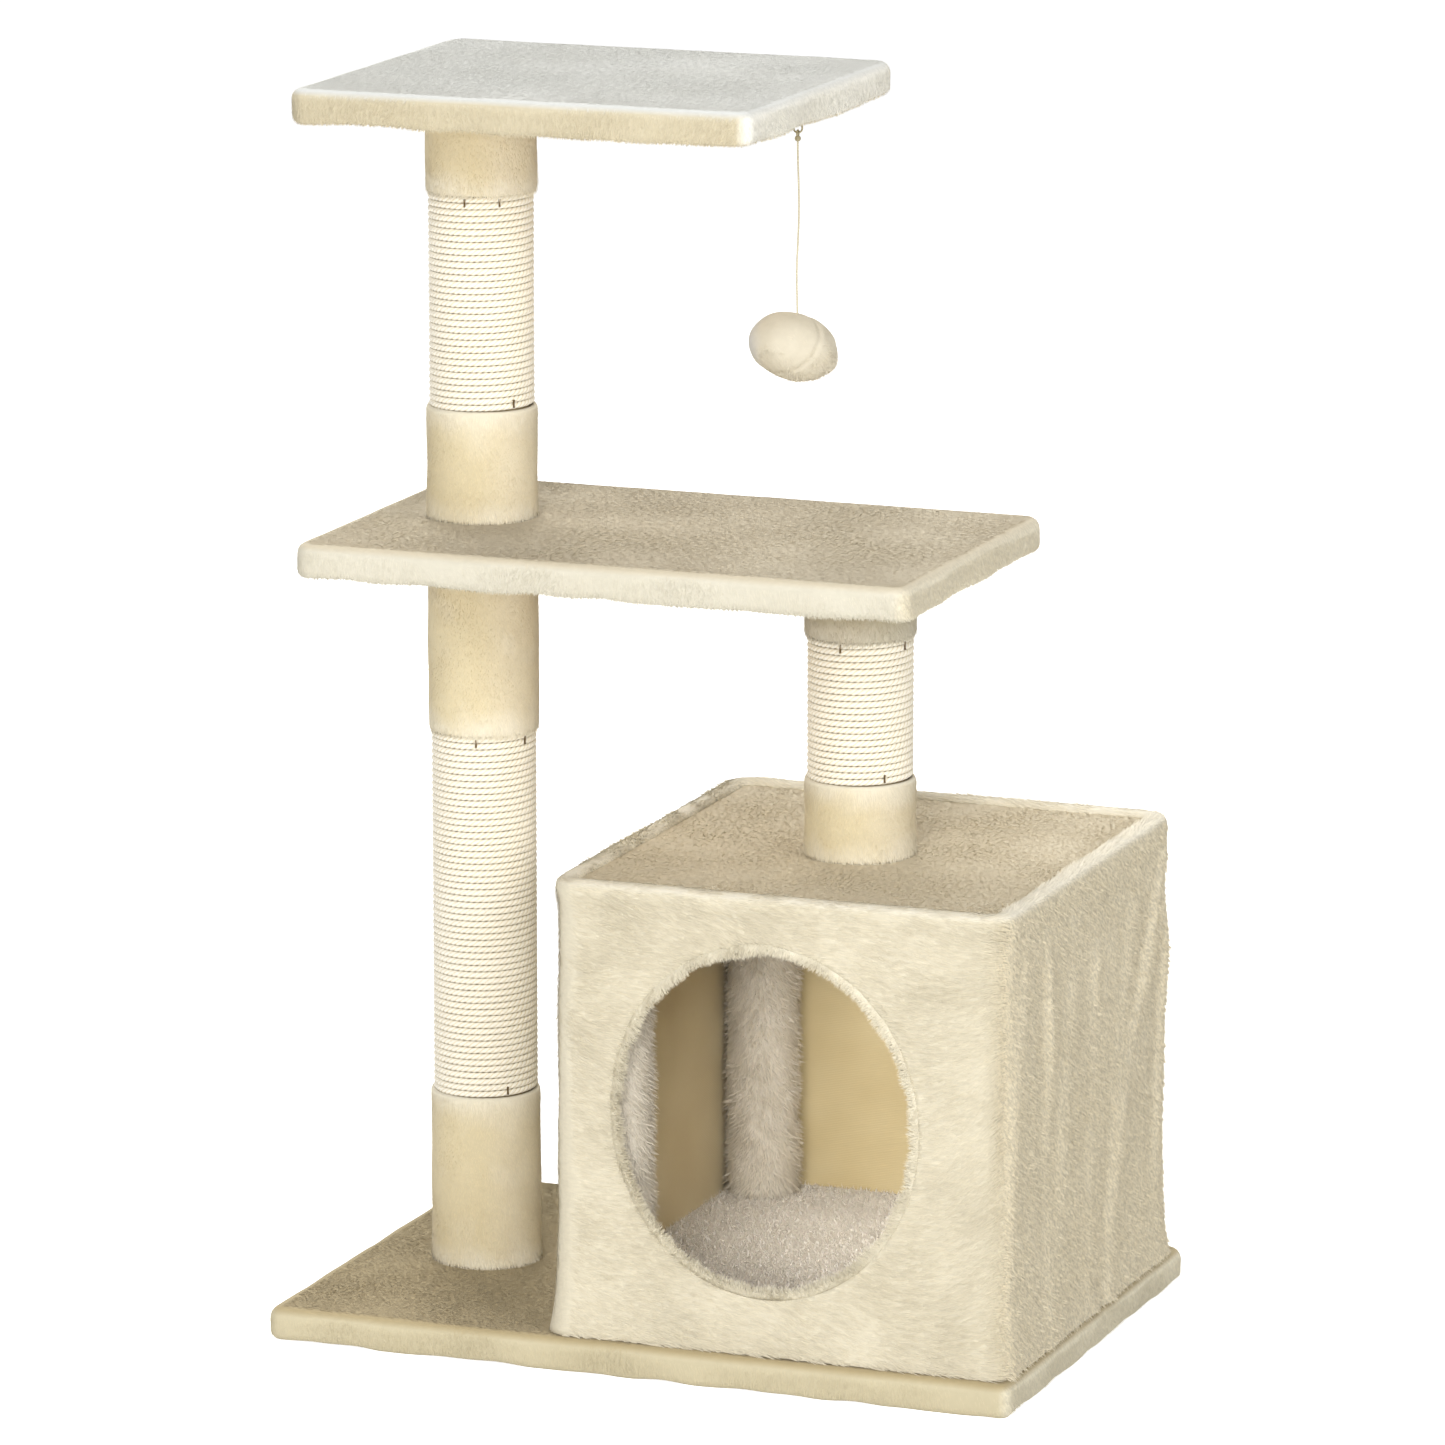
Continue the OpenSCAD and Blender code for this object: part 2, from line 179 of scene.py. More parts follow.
def rope_tree(name, normals):
    tree, given, result = tree_with(
        name, Radius=("Float", 0.0021), Lay_length=("Float", 0.0117), Lobes=("Float", 3.0),
        Sides=("Int", 12), Depth=("Float", 0.2), Step=("Float", 0.0015),
        Material=("Material", None))
    path = add(tree, "GeometryNodeMeshToCurve", Mesh=given["Geometry"])
    even = add(tree, "GeometryNodeResampleCurve", {"mode": "LENGTH"}, Curve=path.outputs["Curve"],
               Length=given["Step"])
    facing = add(tree, "GeometryNodeSetCurveNormal", {"mode": normals},
                 Curve=even.outputs["Curve"])
    along = add(tree, "GeometryNodeSplineParameter").outputs["Length"]
    lays = add(tree, "ShaderNodeMath", {"operation": "DIVIDE"}, n0=along, n1=given["Lay length"])
    turn = add(tree, "ShaderNodeMath", {"operation": "MULTIPLY"}, n0=lays.outputs[0],
               n1=-2 * math.pi)
    tilted = add(tree, "GeometryNodeSetCurveTilt", Curve=facing.outputs["Curve"],
                 Tilt=turn.outputs[0])
    circle = add(tree, "GeometryNodeCurvePrimitiveCircle", Resolution=given["Sides"], Radius=1.0)
    share = add(tree, "ShaderNodeMath", {"operation": "DIVIDE"},
                n0=add(tree, "GeometryNodeInputIndex").outputs[0], n1=given["Sides"])
    angle = add(tree, "ShaderNodeMath", {"operation": "MULTIPLY"}, n0=share.outputs[0],
                n1=given["Lobes"])
    half = add(tree, "ShaderNodeMath", {"operation": "MULTIPLY"}, n0=angle.outputs[0], n1=math.pi)
    wave = add(tree, "ShaderNodeMath", {"operation": "COSINE"}, n0=half.outputs[0])
    crest = add(tree, "ShaderNodeMath", {"operation": "ABSOLUTE"}, n0=wave.outputs[0])
    dip = add(tree, "ShaderNodeMath", {"operation": "SUBTRACT"}, n0=1.0, n1=crest.outputs[0])
    shrink = add(tree, "ShaderNodeMath", {"operation": "MULTIPLY"}, n0=dip.outputs[0],
                 n1=given["Depth"])
    swell = add(tree, "ShaderNodeMath", {"operation": "SUBTRACT"}, n0=1.0, n1=shrink.outputs[0])
    reach = add(tree, "ShaderNodeMath", {"operation": "MULTIPLY"}, n0=swell.outputs[0],
                n1=given["Radius"])
    scaled = add(tree, "ShaderNodeVectorMath", {"operation": "SCALE"},
                 n0=add(tree, "GeometryNodeInputPosition").outputs[0], Scale=reach.outputs[0])
    lobed = add(tree, "GeometryNodeSetPosition", Geometry=circle.outputs["Curve"],
                Position=scaled.outputs[0])
    marked = add(tree, "GeometryNodeStoreNamedAttribute", {"data_type": "FLOAT", "domain": "POINT"},
                 Geometry=lobed.outputs[0], Name="crest", Value=crest.outputs[0])
    swept = add(tree, "GeometryNodeCurveToMesh", Curve=tilted.outputs["Curve"],
                Profile_Curve=marked.outputs["Geometry"], Fill_Caps=True)
    smooth = add(tree, "GeometryNodeSetShadeSmooth", Geometry=swept.outputs["Mesh"])
    real = add(tree, "GeometryNodeRealizeInstances", Geometry=smooth.outputs[0])
    dressed = add(tree, "GeometryNodeSetMaterial", Geometry=real.outputs[0],
                  Material=given["Material"])
    tree.links.new(dressed.outputs[0], result["Geometry"])
    return tree


def path_object(name, points):
    """A line of points as a mesh, for a rope tree to follow."""
    mesh = bpy.data.meshes.new(name)
    mesh.from_pydata(points, [(i, i + 1) for i in range(len(points) - 1)], [])
    line = bpy.data.objects.new(name, mesh)
    bpy.context.collection.objects.link(line)
    return line


level_rope = rope_tree("rope round a post", "Z_UP")
hanging_rope = rope_tree("rope that hangs", "MINIMUM_TWIST")
print("rope trees ready")

# %% [markdown]
# ## Cotton for the cord, sisal for the rope
# Sisal is a bleached leaf fibre: dry, straw-coloured and never glossy, nearly white where light
# meets the strands. The cord is soft cotton. Both take painted light and shade from the `crest`
# value that the rope tree stores, 1 on top of a strand and 0 in the groove: a painted highlight on
# the strands' tops and painted shade in the grooves between them.

# %% The two rope materials


def laid_fibre(name, groove, crown, fibre_mm):
    material, tree, shader = new_material(name)
    crest = add(tree, "ShaderNodeAttribute", {"attribute_name": "crest"}).outputs["Fac"]
    place = add(tree, "ShaderNodeTexCoord").outputs["Object"]
    fibres = add(tree, "ShaderNodeTexNoise", Vector=place, Scale=1 / (fibre_mm * MM), Detail=3.0)
    blotch = add(tree, "ShaderNodeTexNoise", Vector=place, Scale=1 / (35 * MM), Detail=2.0)
    mixed = add(tree, "ShaderNodeMath", {"operation": "MULTIPLY_ADD"}, n0=fibres.outputs["Fac"],
                n1=0.5, n2=crest)
    light = add(tree, "ShaderNodeMath", {"operation": "MULTIPLY_ADD"}, n0=blotch.outputs["Fac"],
                n1=0.3, n2=mixed.outputs[0])
    tone = add(tree, "ShaderNodeMapRange", Value=light.outputs[0], From_Min=0.35, From_Max=1.25)
    # painted shade in the grooves, painted highlight on the strands' crowns
    colour = ramp(tree, tone.outputs[0], [(0.0, groove), (0.65, crown), (1.0, crown)])
    tree.links.new(colour, shader.inputs["Base Color"])
    bump = add(tree, "ShaderNodeBump", Strength=0.5, Distance=0.3 * MM,
               Height=fibres.outputs["Fac"])
    tree.links.new(bump.outputs[0], shader.inputs["Normal"])
    shader.inputs["Roughness"].default_value = 0.85
    shader.inputs["Sheen Weight"].default_value = 0.15
    return material


sisal = laid_fibre("bleached twisted sisal", "#decda6", "#f5efe0", 0.8)
cotton = laid_fibre("twisted cotton cord", "#a09575", "#cdc5aa", 0.4)
print("fibres:", sisal.name, "and", cotton.name)

# %% The toy's cord
CORD_ROUTE = [
    (50.0, -14.0, 771), (50.0, -14.0, 765), (50.2, -14.0, 757), (50.5, -14.1, 749),
    (50.8, -14.2, 741), (51.0, -14.3, 733), (51.0, -14.3, 725), (50.8, -14.2, 717),
    (50.4, -14.1, 709), (50.0, -14.0, 701), (49.6, -13.9, 693), (49.4, -13.9, 685),
    (49.5, -13.9, 677), (49.8, -14.0, 669), (50.0, -14.0, 661), (50.0, -14.0, 653),
    (50.0, -14.0, 646),
]
CORD_D = 1.4 * MM
cord_points = [tuple(v * MM for v in point) for point in CORD_ROUTE]
cord_line = path_object("cord_route", cord_points)
toy_cord = grow(cord_line, hanging_rope, "toy_cord_cotton", Radius=CORD_D / 2, Lay_length=0.0035,
                Lobes=2.0, Sides=8, Depth=0.25, Step=0.0007, Material=cotton)
bpy.data.objects.remove(cord_line)
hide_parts("toy_cord")
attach(toy_cord, "cord")

# %% [markdown]
# ## Rope round the posts
# A post is wound with one long rope, each turn tight against the last. The path is a helix whose
# pitch is the rope's own diameter, and it lies level for half a turn at each end, as a winder
# starts and stops. On the longest post that is 57 turns and over 11 m of rope.

# %% Wind the three posts
ROPE_D = 4.2 * MM
STEPS_PER_TURN = 48
for post in ("long_post", "upper_post", "short_post"):
    low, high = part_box(post + "_rope")
    centre = (low + high) / 2
    reach = (high.x - low.x) / 2 - ROPE_D / 2
    turns = round((high.z - low.z) / ROPE_D)
    helix = []
    for i in range(turns * STEPS_PER_TURN + 1):
        angle = 2 * math.pi * i / STEPS_PER_TURN + math.radians(120)
        climb = min(max(low.z + ROPE_D * i / STEPS_PER_TURN, low.z + 0.3 * ROPE_D),
                    high.z - 0.3 * ROPE_D)
        helix.append((centre.x + reach * math.cos(angle), centre.y + reach * math.sin(angle),
                      climb))
    line = path_object(post + "_path", helix)
    rope = grow(line, level_rope, post + "_sisal", Radius=ROPE_D / 2, Lay_length=0.0117,
                Lobes=3.0, Sides=12, Depth=0.22, Step=0.00152, Material=sisal)
    bpy.data.objects.remove(line)
    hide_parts(post + "_rope")
    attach(rope, "tree")
    print(post, turns, "turns,", len(rope.data.polygons), "faces")

# %% [markdown]
# ## Plush
# The fur is knitted polyester pile, about 6 mm long. It shines along the way it is brushed and
# darkens where it is seen from its tips, so one cloth shows cream, sand and grey at once. The
# material paints this in as painted light and shade, with a tone of its own where the cloth faces
# forwards, to the right and up. Three scales make it: broad brushed patches, tufts a few
# millimetres across, and single fibres. Each fibre carries a `tip` value, 0 at its root and 1 at
# its end, because light fails between roots: painted shade darkens each fibre towards its root.

# %% The plush material


def around(colour, spread):
    """A colour's deeper and paler neighbours. Deep pile is warmer, and brushed pile whiter."""
    mean = linear(colour)
    deep = [mean[i] * (1 - spread * (1.0, 1.15, 1.6)[i]) for i in range(3)]
    pale = [min(0.95, mean[i] * (1 + spread * (1.0, 1.1, 1.4)[i])) for i in range(3)]
    return (*deep, 1.0), (*pale, 1.0)


def plush(name, front, right, deck, spread=0.07, roots=0.86, patch_mm=70.0, tuft_mm=4.0,
          stretch=(1, 1, 1), combed=0.0, dashed=0.0, frost=0.0):
    """The cloth's mean colour where it faces forwards, to the right, and up: painted light and shade,
    a tone for each facing. combed is how far the level strands show on the front, dashed how far the
    slanting tufts and the painted shade between them show on the right, and frost how far long pile,
    as at a cut edge, goes pale."""
    material, tree, shader = new_material(name)
    coordinates = add(tree, "ShaderNodeTexCoord")
    place = coordinates.outputs["Object"]
    drawn = add(tree, "ShaderNodeMapping", Vector=place, Scale=stretch).outputs[0]
    patches = add(tree, "ShaderNodeTexNoise", Vector=drawn, Scale=1 / (patch_mm * MM), Detail=2.5,
                  Roughness=0.55, Distortion=0.6)
    patch = add(tree, "ShaderNodeMapRange", Value=patches.outputs["Fac"], From_Min=0.30,
                From_Max=0.70).outputs[0]
    tufts = add(tree, "ShaderNodeTexNoise", Vector=drawn, Scale=1 / (tuft_mm * MM), Detail=2.0)
    fibres = add(tree, "ShaderNodeTexNoise", Vector=place, Scale=1 / (0.9 * MM), Detail=2.0)
    colours = []
    for colour, share in ((front, 1.0), (right, 1.0), (deck, 0.3)):
        deep, pale = around(colour, spread * share)
        mixed = add(tree, "ShaderNodeMix", {"data_type": "RGBA"}, n0=patch, n6=deep, n7=pale)
        colours.append(mixed.outputs[2])
    # Painted light and shade: the tone follows the way the cloth faces (the stored normal `face`), front, right or
    # up, not a change in the cloth.
    normal = add(tree, "ShaderNodeSeparateXYZ",
                 Vector=add(tree, "ShaderNodeAttribute", {"attribute_name": "face"}).outputs["Vector"])
    across = add(tree, "ShaderNodeMapRange", Value=normal.outputs["X"], From_Min=0.3, From_Max=0.8)
    round_side = add(tree, "ShaderNodeMix", {"data_type": "RGBA"}, n0=across.outputs[0],
                     n6=colours[0], n7=colours[1]).outputs[2]
    up = add(tree, "ShaderNodeMapRange", Value=normal.outputs["Z"], From_Min=0.35, From_Max=0.85)
    facing_painted_colour = add(tree, "ShaderNodeMix", {"data_type": "RGBA"}, n0=up.outputs[0],
                       n6=round_side, n7=colours[2]).outputs[2]
    if frost:
        pile = add(tree, "ShaderNodeAttribute", {"attribute_name": "pile"}).outputs["Fac"]
        fluffed = add(tree, "ShaderNodeMapRange", Value=pile, From_Min=0.6, From_Max=1.1,
                      To_Max=frost)
        facing_painted_colour = add(tree, "ShaderNodeMix", {"data_type": "RGBA"}, n0=fluffed.outputs[0],
                           n6=facing_painted_colour, n7=linear("#f4efe0")).outputs[2]
    tip = add(tree, "ShaderNodeAttribute", {"attribute_name": "tip"}).outputs["Fac"]
    shade = add(tree, "ShaderNodeAttribute", {"attribute_name": "shade"}).outputs["Fac"]
    rise = add(tree, "ShaderNodeMapRange", Value=tip, To_Min=roots, To_Max=1.05).outputs[0]
    vary = add(tree, "ShaderNodeMapRange", Value=shade, To_Min=0.97, To_Max=1.03).outputs[0]
    tuft = add(tree, "ShaderNodeMapRange", Value=tufts.outputs["Fac"], From_Min=0.3, From_Max=0.7,
               To_Min=0.975, To_Max=1.02).outputs[0]
    level = add(tree, "ShaderNodeMapping", Vector=place, Scale=(0.14, 1, 1)).outputs[0]
    strands = add(tree, "ShaderNodeTexNoise", Vector=level, Scale=1 / (1.5 * MM), Detail=2.0,
                  Distortion=0.8)
    comb = add(tree, "ShaderNodeMapRange", Value=strands.outputs["Fac"], From_Min=0.35,
               From_Max=0.65, To_Min=1.0 - combed, To_Max=1.0 + 0.6 * combed).outputs[0]
    # Slanting dashes on cloth that faces right: paler tufts with painted shade between them.
    slant = add(tree, "ShaderNodeMapping", Vector=place, Rotation=(math.radians(-35), 0, 0)).outputs[0]
    drawn_out = add(tree, "ShaderNodeMapping", Vector=slant, Scale=(1, 1, 0.4)).outputs[0]
    dashes = add(tree, "ShaderNodeTexNoise", Vector=drawn_out, Scale=1 / (1.5 * MM), Detail=1.0,
                 Distortion=0.5)
    dash = add(tree, "ShaderNodeMapRange", Value=dashes.outputs["Fac"], From_Min=0.38,
               From_Max=0.62, To_Min=1.0 - dashed, To_Max=1.0 + 0.5 * dashed).outputs[0]
    mark = add(tree, "ShaderNodeMix", {"data_type": "FLOAT"}, n0=across.outputs[0], n2=comb,
               n3=dash).outputs[0]
    both = add(tree, "ShaderNodeMath", {"operation": "MULTIPLY"}, n0=rise, n1=vary).outputs[0]
    three = add(tree, "ShaderNodeMath", {"operation": "MULTIPLY"}, n0=both, n1=tuft).outputs[0]
    every = add(tree, "ShaderNodeMath", {"operation": "MULTIPLY"}, n0=three, n1=mark).outputs[0]
    final = add(tree, "ShaderNodeVectorMath", {"operation": "SCALE"}, n0=facing_painted_colour, Scale=every)
    tree.links.new(final.outputs[0], shader.inputs["Base Color"])
    height = add(tree, "ShaderNodeMath", {"operation": "MULTIPLY_ADD"},
                 n0=fibres.outputs["Fac"], n1=0.5, n2=tufts.outputs["Fac"]).outputs[0]
    bump = add(tree, "ShaderNodeBump", Strength=0.4, Distance=0.4 * MM, Height=height)
    tree.links.new(bump.outputs[0], shader.inputs["Normal"])
    shader.inputs["Roughness"].default_value = 0.9
    shader.inputs["Sheen Weight"].default_value = 0.25
    shader.inputs["Sheen Roughness"].default_value = 0.45
    shader.inputs["Sheen Tint"].default_value = linear("#fff6e2")
    return material


# The pieces are all the same cream cloth. Their tones were set to the brightness each region shows, so besides the
# cloth's colour they carry painted light and shade. The top platform's pale grey deck tone is a painted reflection of
# the white room.
plush_top = plush("faux fur top platform", "#cbc0a4", "#f2efe4", "#dedfdb", spread=0.03, roots=0.95, dashed=0.1)
plush_middle = plush("faux fur middle platform", "#d3cdbb", "#e1d8c0", "#d6cbb2", spread=0.03, roots=0.95, dashed=0.1)
plush_base = plush("faux fur base", "#c7bc9d", "#dcd4bc", "#b3a27b", spread=0.03, roots=0.95, dashed=0.1)
plush_roof = plush("faux fur den roof", "#e3dabd", "#dad1b9", "#e2d6ba", spread=0.03, roots=0.95)
plush_front = plush("faux fur den wall", "#ded5bd", "#ddd2b7", "#f2ebd8", stretch=(0.45, 1, 1.5),
                    spread=0.02, roots=0.89, combed=0.05, dashed=0.2)
plush_floor = plush("faux fur den floor", "#f0ebe2", "#f0ebe2", "#f0eae0", spread=0.04)
plush_post = plush("faux fur post sleeves", "#dcceaa", "#e1d5b8", "#cec3a9", spread=0.025,
                   patch_mm=45.0, roots=0.93, frost=0.5)
# Painted shade: the same sleeve cloth made darker for the short post's upper sleeve, which sits under the middle
# platform.
plush_shaded = plush("faux fur sleeve in painted shade", "#aea388", "#b3aa91", "#a89e84", spread=0.05,
                     patch_mm=45.0, roots=0.93, frost=0.4)
plush_trim = plush("faux fur entrance trim", "#e4dcc6", "#e0d8c2", "#e6dfcb", spread=0.03, roots=0.9)
plush_inner = plush("faux fur den posts", "#d8cfbe", "#d8cfbe", "#d1c49f", patch_mm=22.0)
plush_ball = plush("faux fur toy ball", "#d3cab5", "#cbc9c5", "#d3cab5", spread=0.03, patch_mm=22.0, roots=0.92)
print("plush tones:", sum(m.name.startswith("faux fur") for m in bpy.data.materials))

# %% [markdown]
# ## Pile as geometry
# A bump map can't give plush its soft outline, so the fibres are real. A Geometry Nodes tree
# scatters points over a cloth and stands a thin triangle on each one. The cloth itself says how:
# `lay` is the way the pile is brushed and `pile` is how long it grows, both stored on its
# vertices. The blades lie low along `lay`, wander a little, and never stand quite alike. Where
# `ruffle` is high the pile stands up and gathers in small tufts, as on a wall that was rubbed.

# %% The pile tree


def pile_tree():
    tree, given, result = tree_with(
        "pile", Density=("Float", 5e5), Length=("Float", 0.006), Width=("Float", 0.0009),
        Lift=("Float", 0.35), Wander=("Float", 0.35), Clump=("Float", 0.4),
        Clump_size=("Float", 0.005), Seed=("Int", 1), Material=("Material", None))
    grown = add(tree, "GeometryNodeInputNamedAttribute", {"data_type": "FLOAT"},
                Name="pile").outputs["Attribute"]
    lay = add(tree, "GeometryNodeInputNamedAttribute", {"data_type": "FLOAT_VECTOR"},
              Name="lay").outputs["Attribute"]
    bare = add(tree, "ShaderNodeMath", {"operation": "GREATER_THAN"}, n0=grown, n1=0.05)
    density = add(tree, "ShaderNodeMath", {"operation": "MULTIPLY"}, n0=bare.outputs[0],
                  n1=given["Density"])
    ruffle = add(tree, "GeometryNodeInputNamedAttribute", {"data_type": "FLOAT"},
                 Name="ruffle").outputs["Attribute"]
    normal = add(tree, "GeometryNodeInputNormal").outputs[0]
    kept = add(tree, "GeometryNodeStoreNamedAttribute",
               {"data_type": "FLOAT_VECTOR", "domain": "POINT"}, Geometry=given["Geometry"],
               Name="face", Value=normal)
    points = add(tree, "GeometryNodeDistributePointsOnFaces", Mesh=kept.outputs["Geometry"],
                 Density=density.outputs[0], Seed=given["Seed"])
    outward = points.outputs["Normal"]
    spread = add(tree, "FunctionNodeRandomValue", {"data_type": "FLOAT_VECTOR"},
                 n0=(-1.0, -1.0, -1.0), n1=(1.0, 1.0, 1.0), Seed=given["Seed"])
    loose = add(tree, "ShaderNodeVectorMath", {"operation": "SCALE"}, n0=spread.outputs[0],
                Scale=given["Wander"])
    upright = add(tree, "ShaderNodeMath", {"operation": "MULTIPLY_ADD"}, n0=ruffle, n1=0.35,
                  n2=given["Lift"])
    lifted = add(tree, "ShaderNodeVectorMath", {"operation": "SCALE"}, n0=outward,
                 Scale=upright.outputs[0])
    fineness = add(tree, "ShaderNodeMath", {"operation": "DIVIDE"}, n0=1.0,
                   n1=given["Clump size"])
    swirls = add(tree, "ShaderNodeTexNoise", {"normalize": True},
                 Vector=add(tree, "GeometryNodeInputPosition").outputs[0],
                 Scale=fineness.outputs[0], Detail=1.0)
    centred = add(tree, "ShaderNodeVectorMath", {"operation": "SUBTRACT"},
                  n0=swirls.outputs["Color"], n1=(0.5, 0.5, 0.5))
    strength = add(tree, "ShaderNodeMath", {"operation": "MULTIPLY_ADD"}, n0=ruffle, n1=2.6,
                   n2=given["Clump"])
    gathered = add(tree, "ShaderNodeVectorMath", {"operation": "SCALE"}, n0=centred.outputs[0],
                   Scale=strength.outputs[0])
    leaning = add(tree, "ShaderNodeVectorMath", {"operation": "ADD"}, n0=lay,
                  n1=lifted.outputs[0])
    clumped = add(tree, "ShaderNodeVectorMath", {"operation": "ADD"}, n0=leaning.outputs[0],
                  n1=gathered.outputs[0])
    way = add(tree, "ShaderNodeVectorMath", {"operation": "ADD"}, n0=clumped.outputs[0],
              n1=loose.outputs[0])
    aimed = add(tree, "FunctionNodeAlignRotationToVector", {"axis": "X"}, Vector=way.outputs[0])
    turned = add(tree, "FunctionNodeAlignRotationToVector", {"axis": "Z", "pivot_axis": "X"},
                 Rotation=aimed.outputs[0], Vector=outward)
    triangle = add(tree, "GeometryNodeMeshCircle", {"fill_type": "NGON"}, Vertices=3, Radius=1.0)
    blade = add(tree, "GeometryNodeTransform", Geometry=triangle.outputs[0],
                Translation=(1 / 3, 0.0, 0.0), Scale=(2 / 3, 1 / math.sqrt(3), 1.0))
    height = add(tree, "ShaderNodeSeparateXYZ",
                 Vector=add(tree, "GeometryNodeInputPosition").outputs[0])
    tipped = add(tree, "GeometryNodeStoreNamedAttribute", {"data_type": "FLOAT", "domain": "POINT"},
                 Geometry=blade.outputs[0], Name="tip", Value=height.outputs["X"])
    uneven = add(tree, "FunctionNodeRandomValue", {"data_type": "FLOAT"}, n2=0.65, n3=1.2,
                 Seed=given["Seed"])
    long = add(tree, "ShaderNodeMath", {"operation": "MULTIPLY"}, n0=uneven.outputs[1], n1=grown)
    longer = add(tree, "ShaderNodeMath", {"operation": "MULTIPLY"}, n0=long.outputs[0],
                 n1=given["Length"])
    size = add(tree, "ShaderNodeCombineXYZ", X=longer.outputs[0], Y=given["Width"], Z=1.0)
    blades = add(tree, "GeometryNodeInstanceOnPoints", Points=points.outputs["Points"],
                 Instance=tipped.outputs["Geometry"], Rotation=turned.outputs[0],
                 Scale=size.outputs[0])
    tone = add(tree, "FunctionNodeRandomValue", {"data_type": "FLOAT"}, n2=0.0, n3=1.0, Seed=7)
    toned = add(tree, "GeometryNodeStoreNamedAttribute", {"data_type": "FLOAT", "domain": "INSTANCE"},
                Geometry=blades.outputs[0], Name="shade", Value=tone.outputs[1])
    real = add(tree, "GeometryNodeRealizeInstances", Geometry=toned.outputs["Geometry"])
    dressed = add(tree, "GeometryNodeSetMaterial", Geometry=real.outputs[0],
                  Material=given["Material"])
    tree.links.new(dressed.outputs[0], result["Geometry"])
    return tree


fur = pile_tree()
print("pile tree ready")

# %% [markdown]
# ## From a cloth to a finished piece
# Each covered part is one cloth, described by its points, its faces, and the pile's lay and length
# at each point. The cloth is made first and the pile is grown on it, while it is a single skin.
# Then Solidify gives the cloth its knitted backing, on the inside, so the outline doesn't move.

# %% The cloth builder
CLOTH_T = 1.5 * MM


def cloth(name, points, faces, lays, piles, material, ruffles=None):
    mesh = bpy.data.meshes.new(name)
    mesh.from_pydata(points, [], faces)
    mesh.shade_smooth()
    mesh.materials.append(material)
    lay = mesh.attributes.new("lay", "FLOAT_VECTOR", "POINT")
    lay.data.foreach_set("vector", [v for way in lays for v in way])
    pile = mesh.attributes.new("pile", "FLOAT", "POINT")
    pile.data.foreach_set("value", piles)
    ruffle = mesh.attributes.new("ruffle", "FLOAT", "POINT")
    ruffle.data.foreach_set("value", ruffles or [0.0] * len(points))
    mesh.update()
    face = mesh.attributes.new("face", "FLOAT_VECTOR", "POINT")
    face.data.foreach_set("vector", [v for vertex in mesh.vertices for v in vertex.normal])
    piece = bpy.data.objects.new(name, mesh)
    bpy.context.collection.objects.link(piece)
    return piece


def finish_cloth(piece, body, slot, nodes, pile_name=None, thickness=CLOTH_T, cut=None, area=None,
                 over=(), **pile):
    """Grows the pile, thickens the cloth, hides the CAD nodes it covers, and parents both to the body's empty. The
    cut size is not used.
    """
    made = [piece]
    if pile_name:
        made.append(grow(piece, fur, pile_name, Material=piece.data.materials[0], **pile))
    backing = piece.modifiers.new("backing", "SOLIDIFY")
    backing.thickness = thickness
    backing.offset = -1
    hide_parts(*nodes)
    for item in made:
        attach(item, body)
    print(piece.name, [len(item.data.polygons) for item in made], "faces")
    return made[-1]


def grid_faces(rows, columns, closed=False):
    """Quads between rows of points that lie one after the other. closed joins each row's ends."""
    faces = []
    for r in range(rows - 1):
        for c in range(columns if closed else columns - 1):
            d = (c + 1) % columns
            faces.append((r * columns + c, r * columns + d, (r + 1) * columns + d,
                          (r + 1) * columns + c))
    return faces


def sway(point, size_mm, seed):
    """A smooth random vector that changes over about size_mm."""
    return noise.noise_vector(Vector(point) / (size_mm * MM) + Vector((seed, 2 * seed, 3 * seed)))


print("cloth builder ready")

# %% [markdown]
# ## Covered boards
# Plush is glued over a board, pulled round its edges, and stapled or glued in a hem underneath.
# A cube with a bevel would give dead straight edges. Here the cloth is a grid laid on the deck,
# its square mapped to a rectangle with round corners, and then rows that roll over the edge, run
# down the side and turn in below. Slow noise pushes it about by less than a millimetre, so the
# edges look hand-pulled, and each hidden bolt leaves a dimple.

# %% The covered board
CORNER = 12 * MM
HEM = 24 * MM
NAP = 0.3 * MM
SWELL = 1.8 * MM          # how far the stuffed pile stands out past the CAD cloth


def round_square(u, v, width, depth, corner):
    """A point of the unit square, laid on a rectangle with round corners."""
    x, y = u * width / 2, v * depth / 2
    inner_x, inner_y = width / 2 - corner, depth / 2 - corner
    if abs(x) > inner_x and abs(y) > inner_y:
        s, t = (abs(x) - inner_x) / corner, (abs(y) - inner_y) / corner
        x = math.copysign(inner_x + corner * s * math.sqrt(1 - t * t / 2), x)
        y = math.copysign(inner_y + corner * t * math.sqrt(1 - s * s / 2), y)
    return x, y


def unit_steps(length, corner, step):
    """Even steps from -1 to 1, finer inside the round corners."""
    edge = 1 - 2 * corner / length
    inside = max(2, round(length * edge / step))
    middle = [edge * (2 * i / inside - 1) for i in range(inside + 1)]
    ends = [edge + (1 - edge) * i / 4 for i in range(1, 5)]
    return [-v for v in reversed(ends)] + middle + ends


